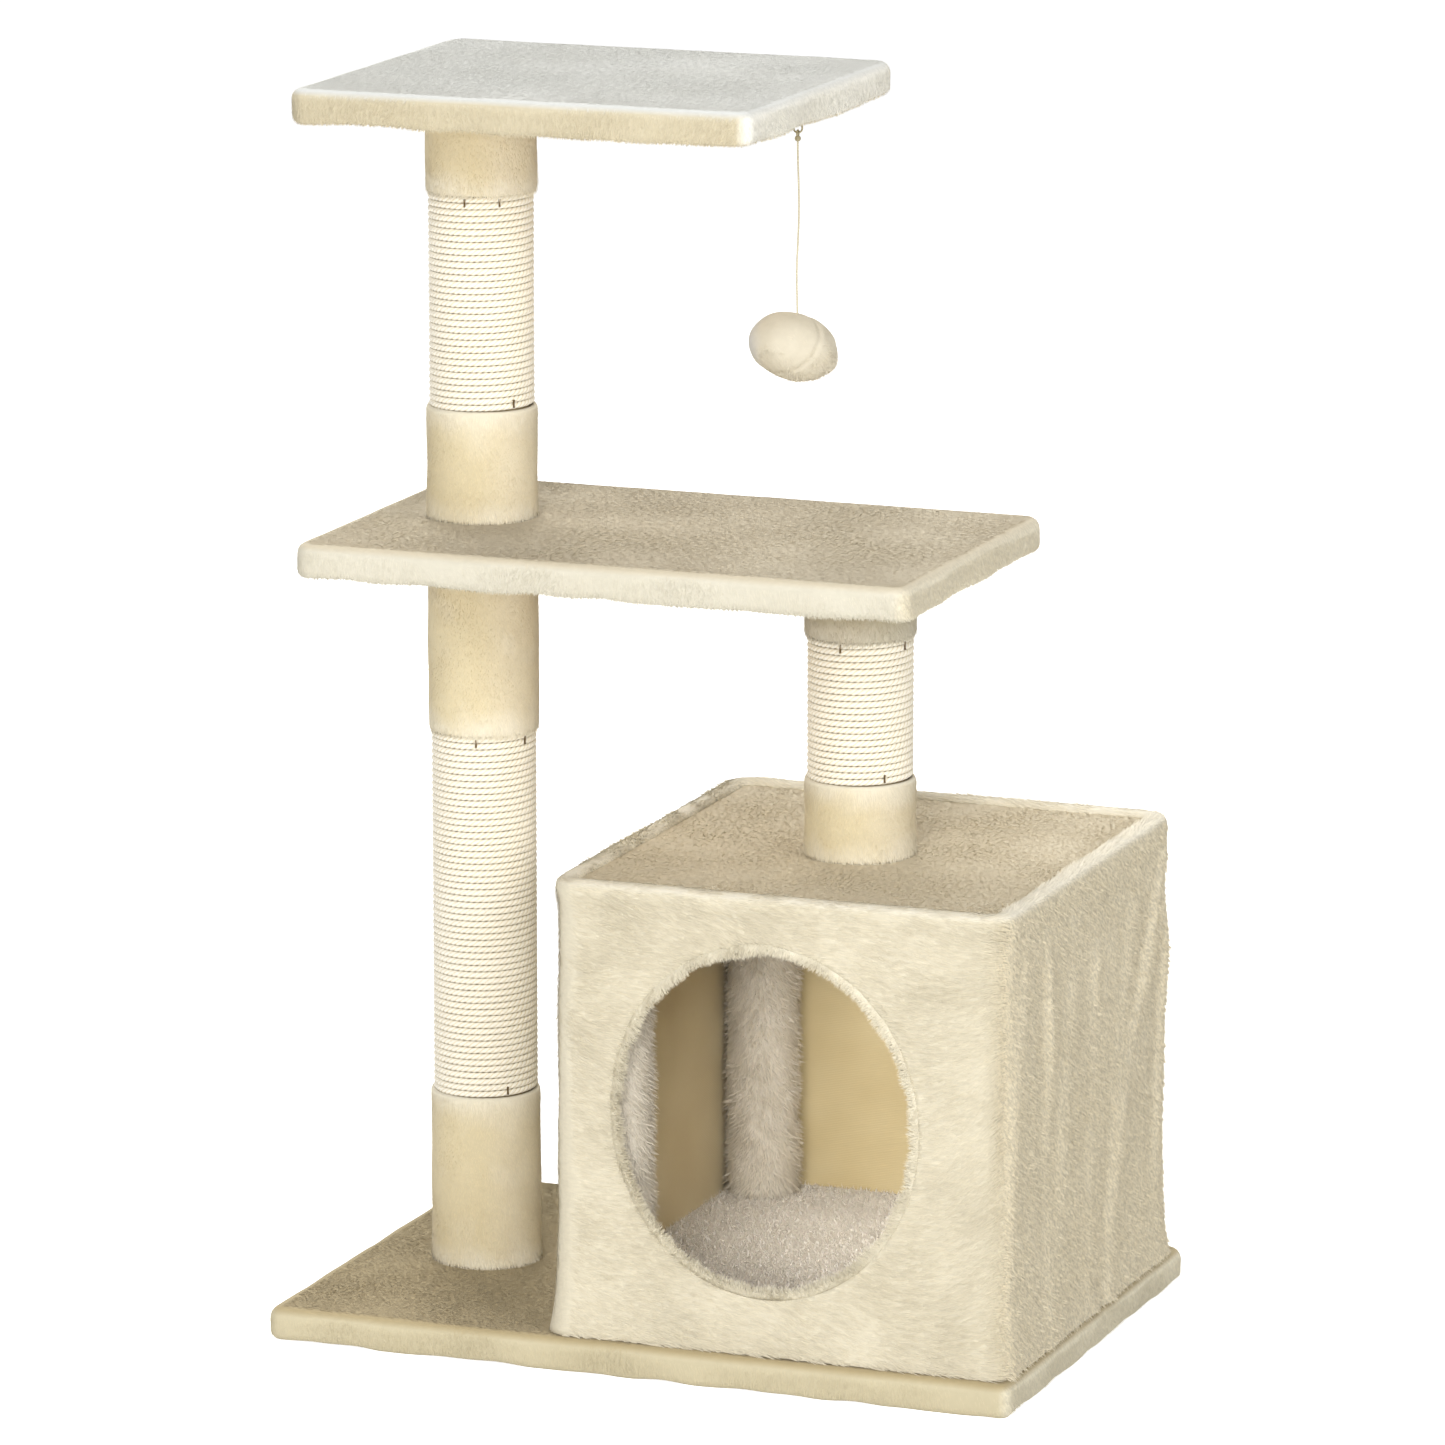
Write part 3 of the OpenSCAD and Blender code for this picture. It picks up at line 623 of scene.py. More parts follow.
def covered_board(node, material, name, brushed, rumple_mm=0.8, dimples=(), hem=HEM, roll_mm=6.5,
                  seed=1, step_mm=5.0, edge_pile=1.0, clear=None, corner=CORNER, low_pile=0.6):
    low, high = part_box(node)
    middle = (low + high) / 2
    width, depth = high.x - low.x + 2 * SWELL, high.y - low.y + 2 * SWELL
    height = high.z - low.z - NAP
    roll, roll_low = roll_mm * MM, 5 * MM
    us = unit_steps(width - 2 * roll, corner, step_mm * MM)
    vs = unit_steps(depth - 2 * roll, corner, step_mm * MM)
    plan = [(u, v) for v in vs for u in us]
    columns, lines = len(us), len(vs)

    def place(u, v, inset, z):
        x, y = round_square(u, v, width - 2 * inset, depth - 2 * inset,
                            max(corner - inset, 1.5 * MM))
        return Vector((middle.x + x, middle.y + y, z))

    top = low.z + height
    points = [place(u, v, roll, top) for u, v in plan]
    ring = [(u, -1.0) for u in us[:-1]] + [(1.0, v) for v in vs[:-1]]
    ring += [(u, 1.0) for u in reversed(us[1:])] + [(-1.0, v) for v in reversed(vs[1:])]
    first = [c for c in range(columns - 1)] + [columns - 1 + r * columns for r in range(lines - 1)]
    first += [(lines - 1) * columns + c for c in range(columns - 1, 0, -1)]
    first += [r * columns for r in range(lines - 1, 0, -1)]
    section = []
    for i in range(1, 5):
        a = math.radians(90 * i / 4)
        section.append((roll * (1 - math.sin(a)), top - roll * (1 - math.cos(a)), 1.0))
    section += [(0.0, (top - roll + low.z + roll_low) / 2, 1.0), (0.0, low.z + roll_low, 1.0)]
    for i in range(1, 4):
        a = math.radians(90 * i / 3)
        section.append((roll_low * (1 - math.cos(a)), low.z + roll_low * (1 - math.sin(a)), low_pile))
    section += [(hem * f, low.z, 0.0) for f in (0.5, 1.0)]
    faces = grid_faces(lines, columns)
    previous = first
    grown = [1.0] * len(points)
    sides = [0.0] * len(points)
    for inset, z, pile in section:
        start = len(points)
        for u, v in ring:
            points.append(place(u, v, inset, z))
            grown.append(edge_pile * pile)
            sides.append(1.0)
        row = list(range(start, start + len(ring)))
        for i in range(len(ring)):
            j = (i + 1) % len(ring)
            faces.append((previous[i], row[i], row[j], previous[j]))
        previous = row
    lays, shifted = [], []
    for point, side in zip(points, sides):
        out = Vector((point.x - middle.x, point.y - middle.y, 0))
        out = Vector((math.copysign(1, out.x), 0, 0)) if width / 2 - abs(out.x) < depth / 2 - abs(
            out.y) else Vector((0, math.copysign(1, out.y), 0))
        rumple = sway(point, 38, seed) + sway(point, 11, seed) * 0.35
        push = rumple * rumple_mm * MM * (1.0 if side else 0.4)
        droop = max(0.0, (middle.z - point.z) / (high.z - low.z)) * 2 * side
        dip = sum(depth_mm * MM * math.exp(-((point.xy - Vector(at)).length / (r_mm * MM)) ** 2)
                  for at, r_mm, depth_mm in dimples) * (1 - side)
        moved = point + (out * push.x if side else Vector((0, 0, push.z - dip)))
        moved.z += sway(point, 30, seed + 9).z * droop * 2.2 * MM
        moved.z = max(moved.z, low.z)
        shifted.append(moved)
        drift = sway(point, 60, seed + 5)
        lays.append((Vector(brushed) + drift * 0.14 if not side
                     else Vector((0.15, 0, -1)) + drift * 0.6 + out * 0.1))
    if clear:
        for i, point in enumerate(points):
            inside = clear[0] < point.x < clear[1] and clear[2] < point.y < clear[3]
            grown[i] = 0.0 if inside and not sides[i] else grown[i]
    return cloth(name, shifted, faces, lays, grown, material)


def cut_for(node):
    """A covered board's cut: its plan, both edges, and the hem turned under."""
    low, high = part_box(node)
    wrap = 2 * (high.z - low.z + HEM)
    return (high.x - low.x + wrap, high.y - low.y + wrap)


def middle_of(node):
    low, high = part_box(node)
    return ((low.x + high.x) / 2, (low.y + high.y) / 2)


print("covered board ready")

# %% The five covered boards
den_low, den_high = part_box("den_plush_wall")
short_axis = middle_of("short_post_tube")
long_axis = middle_of("long_post_tube")
den_axes = [middle_of("den_post_tube_" + c) for c in ("front_left", "front_right", "back_left",
                                                      "back_right")]
base = covered_board("base_cover", plush_base, "base_plush", (0.8, -0.5, 0), seed=3, roll_mm=7,
                     low_pile=0.0, corner=9 * MM,
                     clear=(den_low.x + 0.02, den_high.x - 0.02, den_low.y + 0.02,
                            den_high.y - 0.02))
finish_cloth(base, "tree", "plush", ["base_cover"], cut=cut_for("base_cover"), over=["base_board"],
             pile_name="base_pile", Density=8e5, Length=0.0034,
             Width=0.0006, Lift=0.15, Wander=0.16, Clump=0.15, Seed=11)
middle = covered_board("middle_platform_cover", plush_middle, "middle_platform_plush",
                       (0.9, -0.3, 0), seed=5, dimples=[(short_axis, 3.5, 1.6)])
finish_cloth(middle, "tree", "plush", ["middle_platform_cover"], cut=cut_for("middle_platform_cover"), over=["middle_platform_board"],
             pile_name="middle_platform_pile",
             Density=8e5, Length=0.0034, Width=0.0006, Lift=0.15, Wander=0.16, Clump=0.15, Seed=12)
top = covered_board("top_platform_cover", plush_top, "top_platform_plush", (0.9, 0.2, 0), seed=8,
                    dimples=[(long_axis, 5, 1.2)])
finish_cloth(top, "tree", "plush", ["top_platform_cover"], cut=cut_for("top_platform_cover"), over=["top_platform_board"],
             pile_name="top_platform_pile", Density=8e5,
             Length=0.0034, Width=0.0006, Lift=0.15, Wander=0.16, Clump=0.15, Seed=13)
roof = covered_board("den_roof_cover", plush_roof, "den_roof_plush", (0.7, -0.6, 0), seed=9,
                     dimples=[(axis, 10, -1.6) for axis in den_axes]
                     + [(axis, 4, 1.4) for axis in den_axes], roll_mm=4)
finish_cloth(roof, "tree", "plush", ["den_roof_cover"], cut=cut_for("den_roof_cover"), over=["den_roof_board"],
             pile_name="den_roof_pile", Density=8e5,
             Length=0.0034, Width=0.0006, Lift=0.15, Wander=0.16, Clump=0.15, Seed=14)
floor = covered_board("den_floor_cover", plush_floor, "den_floor_plush", (0.2, -0.9, 0), seed=10,
                      roll_mm=4, rumple_mm=0.7)
finish_cloth(floor, "tree", "plush", ["den_floor_cover"], cut=cut_for("den_floor_cover"), over=["den_floor_board"],
             pile_name="den_floor_pile", Density=5e5,
             Length=0.005, Width=0.0009, Lift=0.7, Wander=0.5, Seed=15)

# %% [markdown]
# ## Sleeves on the posts
# The plush ends of a post are rectangles of the same cloth, wrapped round the tube and joined in
# a butt seam down the back. A straight cylinder looks turned on a lathe. These cloths follow a
# ring by ring section instead: a soft rim at each end, slow lumps where the glue took unevenly,
# and a shallow groove along the seam. The pile is stroked down, and fluffs up at the cut edges.

# %% The post sleeve


def sleeve(node, name, material, lump_mm, seed, stroke=(0.1, 0, -1), fluff=0.6, level=0.55):
    low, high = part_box(node)
    centre = (low + high) / 2
    outer = (high.x - low.x) / 2 - NAP
    around, tall = 96, max(8, round((high.z - low.z) / (4 * MM)))
    rim = 2.0 * MM
    section = [(outer - 3.2 * MM, low.z + 0.3 * MM), (outer - 0.8 * MM, low.z + 0.3 * MM)]
    section += [(outer, low.z + rim + (high.z - low.z - 2 * rim) * i / tall)
                for i in range(tall + 1)]
    section += [(outer - 0.8 * MM, high.z - 0.3 * MM), (outer - 3.2 * MM, high.z - 0.3 * MM)]
    points, lays, piles = [], [], []
    for reach, z in section:
        for k in range(around):
            a = 2 * math.pi * k / around
            out = Vector((math.cos(a), math.sin(a), 0))
            point = Vector((centre.x, centre.y, z)) + out * reach
            seam = math.exp(-((a - math.radians(75)) / 0.035) ** 2) * 1.2 * MM
            lump = sway(point, 26, seed).x * lump_mm * MM
            end = min(z - low.z, high.z - z) / (12 * MM)
            points.append(point + out * (lump - seam))
            lays.append(Vector(stroke) + sway(point, 24, seed + 2) * 0.35)
            piles.append(level + fluff * math.exp(-end * end) + 0.35 * sway(point, 18, seed + 4).z)
    return cloth(name, points, grid_faces(len(section), around, closed=True), lays, piles, material)


def cut_round(node):
    """A sleeve's cut: once round the post, by its height."""
    low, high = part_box(node)
    return (math.pi * (high.x - low.x), high.z - low.z)


for i, node in enumerate(f"{post}_{part}" for post in ("long_post", "upper_post", "short_post")
                         for part in ("lower_plush", "upper_plush")):
    # the short post's upper sleeve takes the painted-shade copy of the sleeve cloth
    fur_tone = plush_shaded if node == "short_post_upper_plush" else plush_post
    piece = sleeve(node, node + "_sleeve", fur_tone, 0.6, 20 + i)
    finish_cloth(piece, "tree", "plush_light", [node], node + "_pile", cut=cut_round(node),
                 over=[node.split("_post")[0] + "_post_tube"], Density=7e5, Length=0.004,
                 Width=0.0006, Lift=0.22, Wander=0.25, Clump=0.25, Seed=30 + i)
for i, corner in enumerate(("front_left", "front_right", "back_left", "back_right")):
    node = "den_post_plush_" + corner
    piece = sleeve(node, node + "_sleeve", plush_inner, 1.6, 50 + i, fluff=0.3, level=0.9)
    finish_cloth(piece, "tree", "plush_light", [node], node + "_pile", cut=cut_round(node),
                 over=["den_post_tube_" + corner], Density=5e5, Length=0.006, Width=0.0009, Lift=0.8, Wander=0.7, Seed=60 + i)

# %% [markdown]
# ## The den's wall
# The den is a box without corners: one long cloth goes round it, with card in its pockets. It is
# pulled tight under the roof's edge, rolls over it in a fuzzy lip, and flares where it meets the
# base. The sheet is a grid wrapped round a rounded rectangle. The entrance is cut out of the grid
# and its edge points are moved on to the circle, and a turned-in trim hides the cut.

# %% Wrap the wall
WALL_CORNER = 18 * MM
GRID = 3.5 * MM
wall_w, wall_d = den_high.x - den_low.x - 2 * NAP, den_high.y - den_low.y - 2 * NAP
wall_centre = (den_low + den_high) / 2
trim_low, trim_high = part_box("entrance_trim")
hole = (trim_low + trim_high) / 2
hole_r = (trim_high.x - trim_low.x) / 2
OVAL = Vector((0.93, 1.0, 1.03))      # the stretched cloth pulls the entrance a little taller


PANEL_GAP = 1.6 * MM                  # a fold can sink this far before it meets the card
rise = den_high.z - den_low.z


def wall_outline():
    """Points round the den in plan, counted from the front left corner, with outward directions."""
    outline = []
    flat_x, flat_y = wall_w - 2 * WALL_CORNER, wall_d - 2 * WALL_CORNER
    sides = [((-1, -1), (1, 0), flat_x), ((1, -1), (0, 1), flat_y), ((1, 1), (-1, 0), flat_x),
             ((-1, 1), (0, -1), flat_y)]
    for (sx, sy), (dx, dy), run in sides:
        start = Vector((sx * (wall_w / 2 - WALL_CORNER), sy * (wall_d / 2 - WALL_CORNER)))
        out = Vector((dy, -dx))
        steps = round(run / GRID)
        for i in range(steps):
            at = start + Vector((dx, dy)) * run * i / steps + out * WALL_CORNER
            outline.append((at, out))
        turn = start + Vector((dx, dy)) * run
        for i in range(8):
            a = math.radians(90 * i / 8)
            way = out * math.cos(a) + Vector((dx, dy)) * math.sin(a)
            outline.append((turn + way * WALL_CORNER, way))
    return outline


# Folds on the right wall: place along the wall at the top and at the bottom, height and width.
FOLDS = [(0.14, 0.00, 2.6, 9), (0.24, 0.26, 4.0, 8), (0.44, 0.30, 2.6, 12), (0.55, 0.50, 3.6, 9),
         (0.80, 0.62, 2.6, 12), (0.99, 0.60, 5.6, 11), (0.99, 0.90, 3.4, 8)]
SAG_FROM, SAG_TO = 0.30, 0.86           # the crease below the top edge runs between these places


def fold_height(across, up):
    """How far the right wall's cloth stands out in folds, in metres; both arguments run 0 to 1."""
    total = 0.0
    for top_at, low_at, height_mm, width_mm in FOLDS:
        line = low_at + (top_at - low_at) * up ** 1.5
        gap = (across - line) * wall_d / (width_mm * MM)
        valley = math.exp(-(gap + 1.4) ** 2)
        ridge = math.exp(-gap * gap) - 0.6 * valley
        uneven = 0.6 + 0.8 * noise.noise((height_mm * 9, up * 3.5, 0))
        total += height_mm * MM * ridge * min(1.0, 0.35 + up) * uneven
    if SAG_FROM < across < SAG_TO:
        share = (across - SAG_FROM) / (SAG_TO - SAG_FROM)
        gap = (up - (0.80 + 0.15 * share)) * rise / (13 * MM)
        total -= 3.4 * MM * math.exp(-gap * gap) * math.sin(math.pi * share)
    return total


def wall_point(at, out, z, inset):
    """Where the cloth lies at a place round the den and a height."""
    up = (z - den_low.z) / (den_high.z - den_low.z)
    corner = abs(out.x * out.y) * 2
    flare = math.exp(-up / 0.09) * (4.5 + 2.5 * corner) * MM
    waist = -math.exp(-((up - 0.86) / 0.10) ** 2) * (0.4 + 2.0 * corner) * MM
    rim = math.exp(-((up - 0.99) / 0.03) ** 2) * 2.0 * MM
    shift = flare + waist + rim - 0.7 * MM
    here = Vector((wall_centre.x + at.x, wall_centre.y + at.y, z))
    shift += sway(here, 45, 2).x * 0.8 * MM + sway(here, 13, 3).y * 0.35 * MM
    if out.x > 0.7 and inset == 0:
        across = (at.y + wall_d / 2) / wall_d
        shift += fold_height(across, up) * min(1.0, (1 - up) * 12)
    return here + Vector((out.x, out.y, 0)) * (max(shift, -PANEL_GAP) - inset)


def wall_lay(point, out):
    """The way the pile is brushed at a point of the wall."""
    drift = sway(point, 60, 4) * 0.22 + sway(point, 24, 6) * 0.15
    if out.y < -0.7:
        height = (point.z - den_low.z) / rise
        right_band = min(1.0, max(0.0, (point.x - den_high.x + 80 * MM) / (60 * MM)))
        sweep = right_band * math.sin(math.pi * min(1.0, max(0.0, height)))
        return Vector((1.0, 0, -0.15 + 1.1 * sweep)) + drift
    return Vector((0, 0, -1.0)) + Vector((-out.y, out.x, 0)) * 0.7 + drift * 0.6


outline = wall_outline()
rows = [(den_low.z + 0.4 * MM + (rise - 4 * MM) * i / 84, 0.0) for i in range(85)]
rows += [(den_high.z + lift * MM, inset * MM) for lift, inset in
         ((0.2, 0.3), (2.0, 2.0), (3.2, 5.0), (3.5, 8.0), (2.8, 11.0), (1.0, 13.5), (-1.8, 15.5))]
points, lays, piles, ruffles = [], [], [], []
for z, inset in rows:
    for at, out in outline:
        point = wall_point(at, out, z, inset)
        points.append(point)
        lays.append(wall_lay(point, out) if inset < 1 * MM
                    else Vector((-out.y, out.x, 0)) + sway(point, 20, 7) * 0.45)
        rubbed = min(1.0, max(0.0, (out.x - 0.6) / 0.4)) if inset == 0 else 0.12
        ruffles.append(rubbed * (0.8 + 0.4 * sway(point, 50, 19).x))
        short = 0.4 * rubbed if inset == 0 else 0.1
        piles.append(1.0 - short + 0.2 * sway(point, 30, 9).x)
front_y = den_low.y + 30 * MM
apart = [math.hypot((p.x - hole.x) / OVAL.x, (p.z - hole.z) / OVAL.z) if p.y < front_y else 1.0
         for p in points]
faces = [f for f in grid_faces(len(rows), len(outline), closed=True)
         if sum(apart[i] for i in f) / 4 > hole_r + 1 * MM]
edges_used = {}
for f in faces:
    for i in range(4):
        key = tuple(sorted((f[i], f[(i + 1) % 4])))
        edges_used[key] = edges_used.get(key, 0) + 1
for (a, b), count in edges_used.items():
    for i in (a, b):
        if count == 1 and apart[i] < hole_r + 3 * GRID:
            way = Vector(((points[i].x - hole.x) / OVAL.x, 0, (points[i].z - hole.z) / OVAL.z))
            points[i] = (Vector((hole.x, points[i].y, hole.z))
                         + way.normalized() * OVAL * (hole_r + 1 * MM))
used = sorted({i for f in faces for i in f})
renumber = {old: new for new, old in enumerate(used)}
wall = cloth("den_wall_plush", [points[i] for i in used],
             [tuple(renumber[i] for i in f) for f in faces], [lays[i] for i in used],
             [piles[i] for i in used], plush_front, [ruffles[i] for i in used])
WALL_CUT = (2 * (wall_w + wall_d) - 4 * WALL_CORNER, rise + 20 * MM)
finish_cloth(wall, "tree", "plush", ["den_plush_wall"], "den_wall_pile", cut=WALL_CUT,
             area=WALL_CUT[0] * WALL_CUT[1] - math.pi * hole_r ** 2,
             over=["front_wall_panel", "back_wall_panel"], Density=5e5,
             Length=0.0068, Width=0.0008, Lift=0.16, Wander=0.18, Clump=0.35, Clump_size=0.0028,
             Seed=41)

# %% The entrance's trim
trim_section = [(hole_r + 2.2 * MM, 2.2), (hole_r + 0.8 * MM, 0.6), (hole_r - 0.8 * MM, 0.0),
                (hole_r - 1.8 * MM, 0.2), (hole_r - 2.8 * MM, 1.8), (hole_r - 2.8 * MM, 3.6),
                (hole_r - 1.2 * MM, 4.6)]
points, lays, piles = [], [], []
AROUND = 200
for reach, inward in trim_section:
    for k in range(AROUND):
        a = 2 * math.pi * k / AROUND
        out = Vector((math.cos(a), 0, math.sin(a)))
        point = hole + out * OVAL * reach
        point.y = den_low.y + inward * MM + NAP
        point += out * (sway(point, 20, 12).x * 1.0 * MM) + sway(point, 9, 13) * 0.5 * MM
        points.append(point)
        lays.append(-out * (0.9 if inward > -2 else -0.3) + Vector((0, -0.35, 0))
                    + sway(point, 16, 14) * 0.7)
        piles.append(0.95 + 0.5 * sway(point, 14, 15).x)
trim = cloth("entrance_trim_plush", points, grid_faces(len(trim_section), AROUND, closed=True),
             lays, piles, plush_trim)
finish_cloth(trim, "tree", "plush_light", ["entrance_trim"], "entrance_trim_pile", Density=1.5e6,
             Length=0.005, Width=0.0007, Lift=0.45, Wander=0.5, Seed=42, thickness=0.8 * MM)

# %% [markdown]
# ## The toy ball
# The ball is two round plush panels with a band between them, stuffed soft. Its seams pull in, so
# the surface is a sphere squashed to the CAD ball's size with two grooves pressed into it. The
# band runs round the side that faces the right, where the cord goes in.

# %% Sew the ball
ball_low, ball_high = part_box("toy_ball")
ball_centre = (ball_low + ball_high) / 2
BALL_AXIS = Vector((0.858, 0.329, -0.259)).normalized()
BALL_L, BALL_D = 58 * MM, 43 * MM
SEAM_WAY = Vector((-0.41, -0.74, 0.54)).normalized()
SEAM_DEPTH = 1.1 * MM
RINGS, ROUND = 64, 96
frame_a = BALL_AXIS.orthogonal().normalized()
frame_b = BALL_AXIS.cross(frame_a)
points, lays, piles = [], [], []
for i in range(RINGS + 1):
    tilt = math.pi * (i + 0.0) / RINGS
    for k in range(ROUND):
        a = 2 * math.pi * k / ROUND
        way = (BALL_AXIS * math.cos(tilt)
               + (frame_a * math.cos(a) + frame_b * math.sin(a)) * math.sin(tilt))
        along = way.dot(BALL_AXIS)
        point = BALL_AXIS * along * (BALL_L / 2 - NAP) + (way - BALL_AXIS * along) * (BALL_D / 2 - NAP)
        groove = 0.0
        for level in (0.16, -0.60):
            gap = (way.dot(SEAM_WAY) - level) / 0.055
            groove += SEAM_DEPTH * math.exp(-gap * gap)
        lump = sway(way * 0.03, 16, 17).x * 0.8 * MM
        points.append(ball_centre + point + way * (lump - groove))
        lays.append(Vector((0.3, 0, -0.5)) + sway(way * 0.03, 16, 18) * 0.7)
        piles.append(1.0 - 0.4 * min(1.0, groove / SEAM_DEPTH))
faces = grid_faces(RINGS + 1, ROUND, closed=True)
ball = cloth("toy_ball_plush", points, faces, lays, piles, plush_ball)
ball_pile = grow(ball, fur, "toy_ball_pile", Material=plush_ball, Density=3e6, Length=0.003,
                 Width=0.0005, Lift=0.6, Wander=0.5, Seed=43)
merge = ball.modifiers.new("close the poles", "WELD")
merge.merge_threshold = 0.05 * MM
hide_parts("toy_ball")
for piece in (ball, ball_pile):
    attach(piece, "ball")
print("ball", len(ball.data.polygons), "faces, pile", len(ball_pile.data.polygons))

# %% [markdown]
# ## The finishes of the hard parts
# Most hard parts hide inside, but a bench view shows them all. Chipboard is pressed wood flakes
# in resin. Tubes and wall panels are grey-brown recycled card. Bolts, washers and staples are
# zinc-plated steel, and the threaded inserts are zinc with a yellow passivation.

# %% Materials for the CAD nodes


def chipboard():
    """Pressed wood particles: angular flakes about 3 mm across, from pale to bark brown."""
    material, tree, shader = new_material("chipboard")
    place = add(tree, "ShaderNodeTexCoord").outputs["Object"]
    flakes = add(tree, "ShaderNodeTexVoronoi", Vector=place, Scale=1 / (3.2 * MM),
                 Randomness=1.0)
    dust = add(tree, "ShaderNodeTexNoise", Vector=place, Scale=1 / (0.8 * MM), Detail=3.0)
    pick = add(tree, "ShaderNodeSeparateColor", Color=flakes.outputs["Color"]).outputs["Red"]
    mixed = add(tree, "ShaderNodeMath", {"operation": "MULTIPLY_ADD"}, n0=dust.outputs["Fac"],
                n1=0.4, n2=pick)
    colour = ramp(tree, mixed.outputs[0], [(0.1, "#7d5f3c"), (0.35, "#b08f62"), (0.8, "#cbb083"),
                                           (1.0, "#dcc79e")])
    tree.links.new(colour, shader.inputs["Base Color"])
    bump = add(tree, "ShaderNodeBump", Strength=0.4, Distance=0.2 * MM,
               Height=flakes.outputs["Distance"])
    tree.links.new(bump.outputs[0], shader.inputs["Normal"])
    shader.inputs["Roughness"].default_value = 0.8
    return material


def card(name, pale, dark):
    """Recycled paper board: matt, faintly mottled, with long soft fibres."""
    material, tree, shader = new_material(name)
    place = add(tree, "ShaderNodeTexCoord").outputs["Object"]
    fibre = add(tree, "ShaderNodeTexNoise", Vector=place, Scale=1 / (6 * MM), Detail=6.0,
                Roughness=0.7)
    colour = ramp(tree, fibre.outputs["Fac"], [(0.3, dark), (0.7, pale)])
    tree.links.new(colour, shader.inputs["Base Color"])
    bump = add(tree, "ShaderNodeBump", Strength=0.2, Distance=0.1 * MM,
               Height=fibre.outputs["Fac"])
    tree.links.new(bump.outputs[0], shader.inputs["Normal"])
    shader.inputs["Roughness"].default_value = 0.88
    return material


def poplar():
    """Planed softwood: growth rings about 4 mm apart, cut across the grain."""
    material, tree, shader = new_material("planed poplar")
    place = add(tree, "ShaderNodeTexCoord").outputs["Object"]
    rings = add(tree, "ShaderNodeTexWave", {"wave_type": "RINGS"}, Vector=place,
                Scale=1 / (25 * MM), Distortion=3.0, Detail=2.0)
    colour = ramp(tree, rings.outputs["Fac"], [(0.0, "#c4a573"), (1.0, "#e3cda4")])
    tree.links.new(colour, shader.inputs["Base Color"])
    shader.inputs["Roughness"].default_value = 0.65
    return material


def lining_cloth():
    """Woven polyester lining: a fine satin weave about 0.6 mm, with soft broad creases, painted darker in their
    hollows and paler on their ridges as painted shade and light.
    """
    material, tree, shader = new_material("satin lining")
    place = add(tree, "ShaderNodeTexCoord").outputs["Object"]
    creases = add(tree, "ShaderNodeTexNoise", Vector=place, Scale=1 / (80 * MM), Detail=2.0)
    threads = add(tree, "ShaderNodeTexWave", {"bands_direction": "Z"}, Vector=place,
                  Scale=1 / (3.8 * MM), Distortion=0.6)
    # painted shade in the creases' hollows, painted light on their ridges
    colour = ramp(tree, creases.outputs["Fac"], [(0.3, "#b3a074"), (0.7, "#c5b58c")])
    tree.links.new(colour, shader.inputs["Base Color"])
    height = add(tree, "ShaderNodeMath", {"operation": "MULTIPLY_ADD"},
                 n0=threads.outputs["Fac"], n1=0.05, n2=creases.outputs["Fac"])
    bump = add(tree, "ShaderNodeBump", Strength=0.35, Distance=3 * MM, Height=height.outputs[0])
    tree.links.new(bump.outputs[0], shader.inputs["Normal"])
    shader.inputs["Roughness"].default_value = 0.5
    shader.inputs["Sheen Weight"].default_value = 0.2
    return material


def plated(name, colour, roughness):
    """Plated steel: even metal with the faint mottling of a bright zinc bath."""
    material, tree, shader = new_material(name)
    place = add(tree, "ShaderNodeTexCoord").outputs["Object"]
    mottle = add(tree, "ShaderNodeTexNoise", Vector=place, Scale=1 / (1.5 * MM), Detail=3.0)
    rough = add(tree, "ShaderNodeMapRange", Value=mottle.outputs["Fac"],
                To_Min=roughness - 0.08, To_Max=roughness + 0.12)
    tree.links.new(rough.outputs[0], shader.inputs["Roughness"])
    shader.inputs["Base Color"].default_value = linear(colour)
    shader.inputs["Metallic"].default_value = 1.0
    return material


FINISHES = {
    "chipboard": chipboard(),
    "paper_tube": card("wound paper tube", "#c9b48c", "#a98f67"),
    "card": card("grey-brown card", "#bda886", "#99835f"),
    "poplar": poplar(),
    "lining": lining_cloth(),
    "steel": plated("zinc-plated steel", "#b9bcc0", 0.32),
    "insert_zinc": plated("yellow-passivated zinc", "#cdb36a", 0.3),
    "cord": cotton,
}
# The staples are darker and browner than the other plated steel.
wire = plated("dark brown staple wire", "#6d5a3e", 0.5)
for part in frame["record"]["subparts"]:
    node = frame["nodes"][part["node"]]
    finish = wire if "staple" in part["node"] else FINISHES.get(part["material_slot"])
    if finish and not node.hide_render:
        node.data.materials.clear()
        node.data.materials.append(finish)
print("finishes:", ", ".join(FINISHES))

# %% [markdown]
# ## A white studio
# The tree stands on a plain white sweep in even light: one broad soft light from the front left,
# a weaker one from the right, and a bright room all round. Fur needs light that grazes it.

# %% Floor and lights


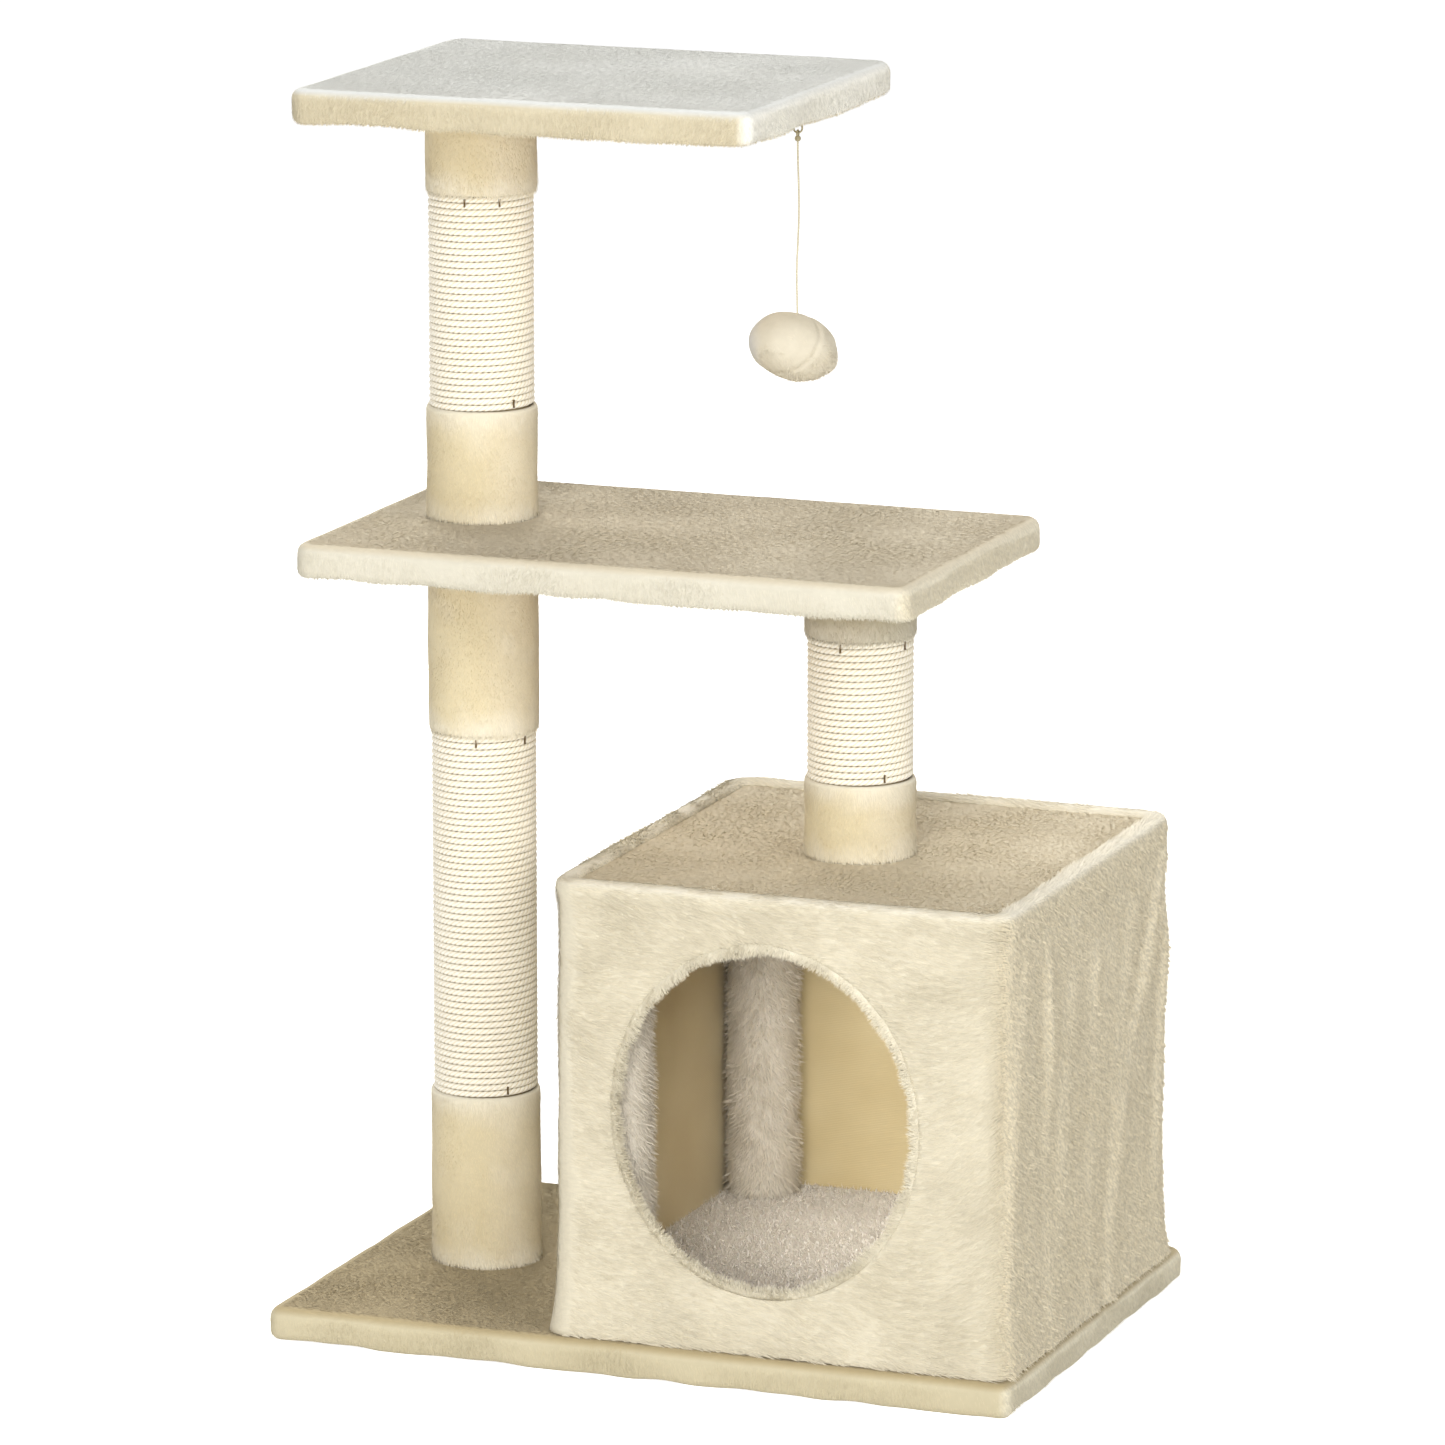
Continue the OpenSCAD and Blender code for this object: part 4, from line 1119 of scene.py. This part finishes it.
def soft_light(name, at, aim, size, power, spread=180):
    data = bpy.data.lights.new(name, "AREA")
    data.size = size
    data.spread = math.radians(spread)
    data.energy = power
    light = bpy.data.objects.new(name, data)
    light.location = at
    light.rotation_mode = "QUATERNION"
    light.rotation_quaternion = (Vector(aim) - Vector(at)).to_track_quat("-Z", "Y")
    bpy.context.collection.objects.link(light)


def studio_floor():
    mesh = bpy.data.meshes.new("studio_floor")
    edge = 12.0
    mesh.from_pydata([(-edge, -edge, 0), (edge, -edge, 0), (edge, edge, 0), (-edge, edge, 0)], [],
                     [(0, 1, 2, 3)])
    material, tree, shader = new_material("white studio floor")
    shader.inputs["Base Color"].default_value = linear("#f6f6f5")
    shader.inputs["Roughness"].default_value = 0.9
    seen = add(tree, "ShaderNodeLightPath").outputs["Is Camera Ray"]
    glow = add(tree, "ShaderNodeMapRange", Value=seen, To_Min=0.0, To_Max=0.8)
    shader.inputs["Emission Color"].default_value = linear("#ffffff")
    tree.links.new(glow.outputs[0], shader.inputs["Emission Strength"])
    mesh.materials.append(material)
    sweep = bpy.data.objects.new("studio_floor", mesh)
    bpy.context.collection.objects.link(sweep)


studio_floor()
AIM = (0, 0, 0.4)
soft_light("low front", (0.8, -4.4, 1.0), AIM, 1.6, 90)
soft_light("high front", (0.7, -3.5, 2.7), AIM, 1.6, 60)
soft_light("right", (3.4, -1.5, 1.6), AIM, 2.0, 52)
soft_light("left", (-3.0, -2.6, 1.8), AIM, 1.8, 8)
soft_light("top", (0.3, -0.4, 3.4), AIM, 2.0, 18)
soft_light("back", (-1.5, 2.5, 3.0), AIM, 2.0, 100)
room_x, room_y = (den_low.x + den_high.x) / 2, (den_low.y + den_high.y) / 2
soft_light("den ceiling", (room_x, room_y - 0.06, 0.265),
           (room_x + 0.03, room_y + 0.08, 0.08), 0.10, 0.27, spread=110)
world = bpy.data.worlds.new("white room")
world.use_nodes = True
room = world.node_tree.nodes["Background"]
seen = add(world.node_tree, "ShaderNodeLightPath").outputs["Is Camera Ray"]
glow = add(world.node_tree, "ShaderNodeMapRange", Value=seen, To_Min=0.25, To_Max=1.0)
room.inputs["Color"].default_value = linear("#ffffff")
world.node_tree.links.new(glow.outputs[0], room.inputs["Strength"])
bpy.context.scene.world = world
bpy.context.scene.view_settings.view_transform = "Standard"
print("studio ready")
